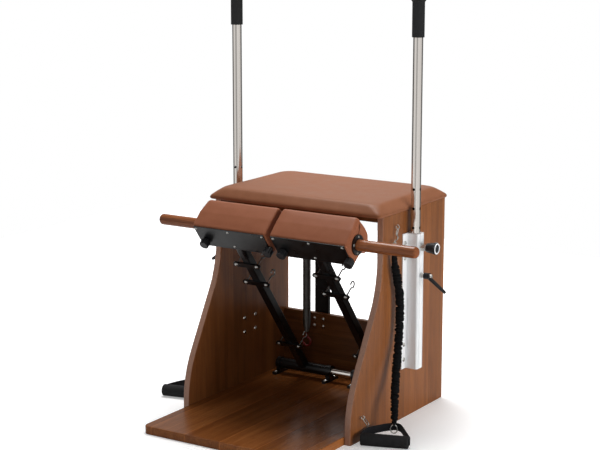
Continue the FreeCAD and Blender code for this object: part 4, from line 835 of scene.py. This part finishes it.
rng = np.random.default_rng(5)
cord_rows, cord_columns = 900, 32
crease_count, lump_count, lump_run, lump_spread = 80, 130, 0.0040, 0.42
for side, sign in SIDES:
    route = np.array(cord_routes[side])
    line, along = spaced(smooth_line(route), cord_rows)
    # Gathers: slanting creases at uneven steps with soft lumps between them; the sleeve is slimmer towards its ends.
    around = np.linspace(0.0, 2.0 * np.pi, cord_columns, endpoint=False)[None, :]
    creases = np.cumsum(rng.uniform(0.0062, 0.0130, crease_count))
    creases = creases[creases < along[-1] - 0.004]
    slant, facing, depth, breadth = (rng.uniform(low, high, len(creases)) for low, high in (
        (0.0006, 0.0040), (0.0, 6.28), (0.0022, 0.0056), (0.0014, 0.0027)))
    girth = np.full((cord_rows, cord_columns), cord_radius * 1.13)
    for place, tilt, turn, cut, spread in zip(creases, slant, facing, depth, breadth):
        apart = along[:, None] - place - tilt * np.sin(around + turn)
        girth -= cut * (0.65 + 0.35 * np.cos(around + 2.0 * turn)) * np.exp(-(apart / spread) ** 2)
    lumps = [rng.uniform(low, high, lump_count) for low, high in ((0.0, along[-1]), (0.0, 6.28), (-0.0006, 0.0016))]
    for place, turn, rise in zip(*lumps):
        apart = (along[:, None] - place) / lump_run
        girth += rise * np.exp(-apart ** 2 - ((np.sin((around - turn) / 2.0)) / lump_spread) ** 2)
    slim = np.interp(along, [0.0, 0.036, 0.044, 0.070, along[-1] - 0.09, along[-1] - 0.012, along[-1]],
                     [0.64, 0.68, 0.88, 1.0, 1.0, 0.84, 0.58])[:, None]
    girth = np.clip(girth, cord_radius * 0.58, cord_radius * 1.20) * slim
    ring = np.stack([girth * np.cos(around), girth * np.sin(around)], -1)
    sleeve_piece = skin("cord_sleeve_" + side, carried(ring, line, rearward))
    sleeve_piece.data.materials.append(sleeve)
    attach(sleeve_piece, "frame")
    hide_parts("cord_" + side)

    # Upper end: black boot, forked hook and a small link up to the eye, flat in an upright plane.
    eye = np.array([sign * eye_x, 0.076, 0.5703])
    boot = turned("cord_boot_" + side, [(0.0004, -0.010), (0.0078, -0.010), (0.0080, -0.004), (0.0080, 0.004),
                                        (0.0074, 0.0075), (0.0052, 0.0105), (0.0040, 0.0130), (0.0004, 0.0134)],
                  route[0], upward)
    down = (route[0] + np.array([0.0, 0.0055, 0.0093]) - eye) * (0.3, 1.0, 1.0)
    down /= np.linalg.norm(down)
    aside = rearward - down * down[1]
    aside /= np.linalg.norm(aside)
    outward_x = np.cross(down, aside)

    def hung(places, count):
        """Wire line through places given as (down from the eye, to the rear of the run)."""
        places = np.asarray(places)
        return soft_curve(eye + places[:, :1] * down + places[:, 1:] * aside, count)

    hook_line = hung([(0.0150, 0.0012), (0.0178, -0.0016), (0.0196, 0.0020), (0.0205, 0.0086), (0.0250, 0.0108),
                      (0.0302, 0.0088), (0.0340, 0.0015), (0.0375, -0.0046), (0.0412, -0.0040), (0.0405, 0.0004)], 60)
    fork_line = hung([(0.0563, -0.0074), (0.0480, -0.0070), (0.0400, -0.0052), (0.0362, 0.0000), (0.0400, 0.0052),
                      (0.0470, 0.0070), (0.0545, 0.0074)], 50)
    link_line = pear(eye, eye + down * link_reach, small_bow, small_bow)
    low_eye = np.array([sign * eye_x, -0.106, 0.0683])
    low_line = pear(low_eye, low_eye + np.array([sign * 0.009, 0.0135, -0.0235]), small_bow, clip_bow)
    links = [wire_loop("cord_link_" + side, link_line, link_wire, np.array([1.0, 0.3, 0.2])),
             skin("cord_hook_" + side, carried(circle(hook_wire, 10), hook_line, outward_x)),
             skin("cord_fork_" + side, carried(circle(fork_wire, 10), fork_line, outward_x)),
             wire_loop("spare_clip_" + side, low_line, link_wire, np.array([1.0, 0.2, 0.1]))]

    # Lower end: black boot, steel ring, and a webbing loop over the ring whose ends go into the foam grip's mouths.
    foot = route[-1]
    tail = turned("cord_tail_" + side, [(0.0004, 0.010), (0.0060, 0.010), (0.0062, 0.002), (0.0058, -0.006),
                                        (0.0046, -0.0100), (0.0004, -0.0108)], foot, upward)
    ends = np.array(grip_ends[side])
    hub = np.array([foot[0], foot[1], ends[0, 2]])
    grip_along = (ends[1] - ends[0]) / np.linalg.norm(ends[1] - ends[0])
    lateral = (hub - ends[0]) - grip_along * np.dot(hub - ends[0], grip_along)
    lateral /= np.linalg.norm(lateral)
    mouths = np.array([ends[0] - grip_along * mouth_out, ends[1] + grip_along * mouth_out]) + lateral * mouth_aside
    shoulders = np.array([mouths[0] + lateral * 0.034 + upward * 0.0070,
                          mouths[1] + lateral * 0.012 - grip_along * 0.0070 + upward * 0.0040])
    to_grip = (mouths.mean(0) - hub) / np.linalg.norm(mouths.mean(0) - hub)
    bow_turn = np.linspace(0.0, 2.0 * np.pi, 40, endpoint=False)[:, None]
    ring_line = (hub + to_grip * ring_ahead + upward * ring_rise + ring_half[0] * np.cos(bow_turn) * grip_along
                 + ring_half[1] * np.sin(bow_turn) * upward)
    ring_piece = wire_loop("cord_ring_" + side, ring_line, ring_wire, np.cross(grip_along, upward))
    apex = hub - to_grip * apex_back + upward * apex_rise + np.array(apex_along)[:, None] * grip_along
    legs = [[shoulders[i] * part + apex[i] * (1.0 - part) for part in (0.85, 0.4, 0.0)] for i in (0, 1)]
    loop = soft_curve([ends[0] + grip_along * tucked, ends[0] + grip_along * bent + lateral * 0.003, mouths[0],
                       mouths[0] + lateral * 0.009 + upward * 0.0030, *legs[0], *legs[1][::-1],
                       mouths[1] + lateral * 0.003, mouths[1], ends[1] - grip_along * bent + lateral * 0.003,
                       ends[1] - grip_along * tucked], strap_rows)
    width = np.interp(np.abs(np.linspace(-1.0, 1.0, strap_rows)), strap_shares, strap_half_widths)
    edge = rounded([(-1, -1), (1, -1), (1, 1), (-1, 1)], [0.25] * 4, 4)
    band = np.stack(np.broadcast_arrays(edge[None, :, 0] * strap_half_thick, edge[None, :, 1] * width[:, None]), -1)
    strap = skin("grip_webbing_" + side, carried(band, loop, upward), crease=50)
    half = np.linalg.norm(ends[1] - ends[0]) / 2
    lip = np.linspace(0.0, np.pi / 2, 6)
    nose = np.stack([grip_radius - grip_lip + grip_lip * np.sin(lip), half - grip_lip + grip_lip * np.cos(lip)], 1)
    belly = np.stack([grip_radius + 0.0003 * np.cos(np.linspace(-1.4, 1.4, 24)),
                      np.linspace(half - 0.006, 0.006 - half, 24)], 1)
    bore_wall = [(grip_bore + 0.0015, -half), (grip_bore, 0.002 - half), (grip_bore, -0.0005)]
    wall = np.vstack([[(grip_bore, 0.0), (grip_bore, half - 0.002), (grip_bore + 0.0015, half)], nose, belly,
                      (nose * (1, -1))[::-1], bore_wall])
    grip = turned("foam_grip_" + side, wall, ends.mean(0), grip_along, 48)
    for piece, coat, node, slot in ((boot, black_rubber, "cord_clips", "black_rubber"),
                                    *((link, bright_zinc, "cord_clips", "bright_steel") for link in links),
                                    (tail, black_rubber, "cord_rings", "black_rubber"),
                                    (ring_piece, bright_zinc, "cord_rings", "bright_steel"),
                                    (strap, webbing, "cord_strap_" + side, "black_webbing"),
                                    (grip, foam, "cord_handle_" + side, "black_foam")):
        piece.data.materials.append(coat)
        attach(piece, "frame")
        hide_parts(node)
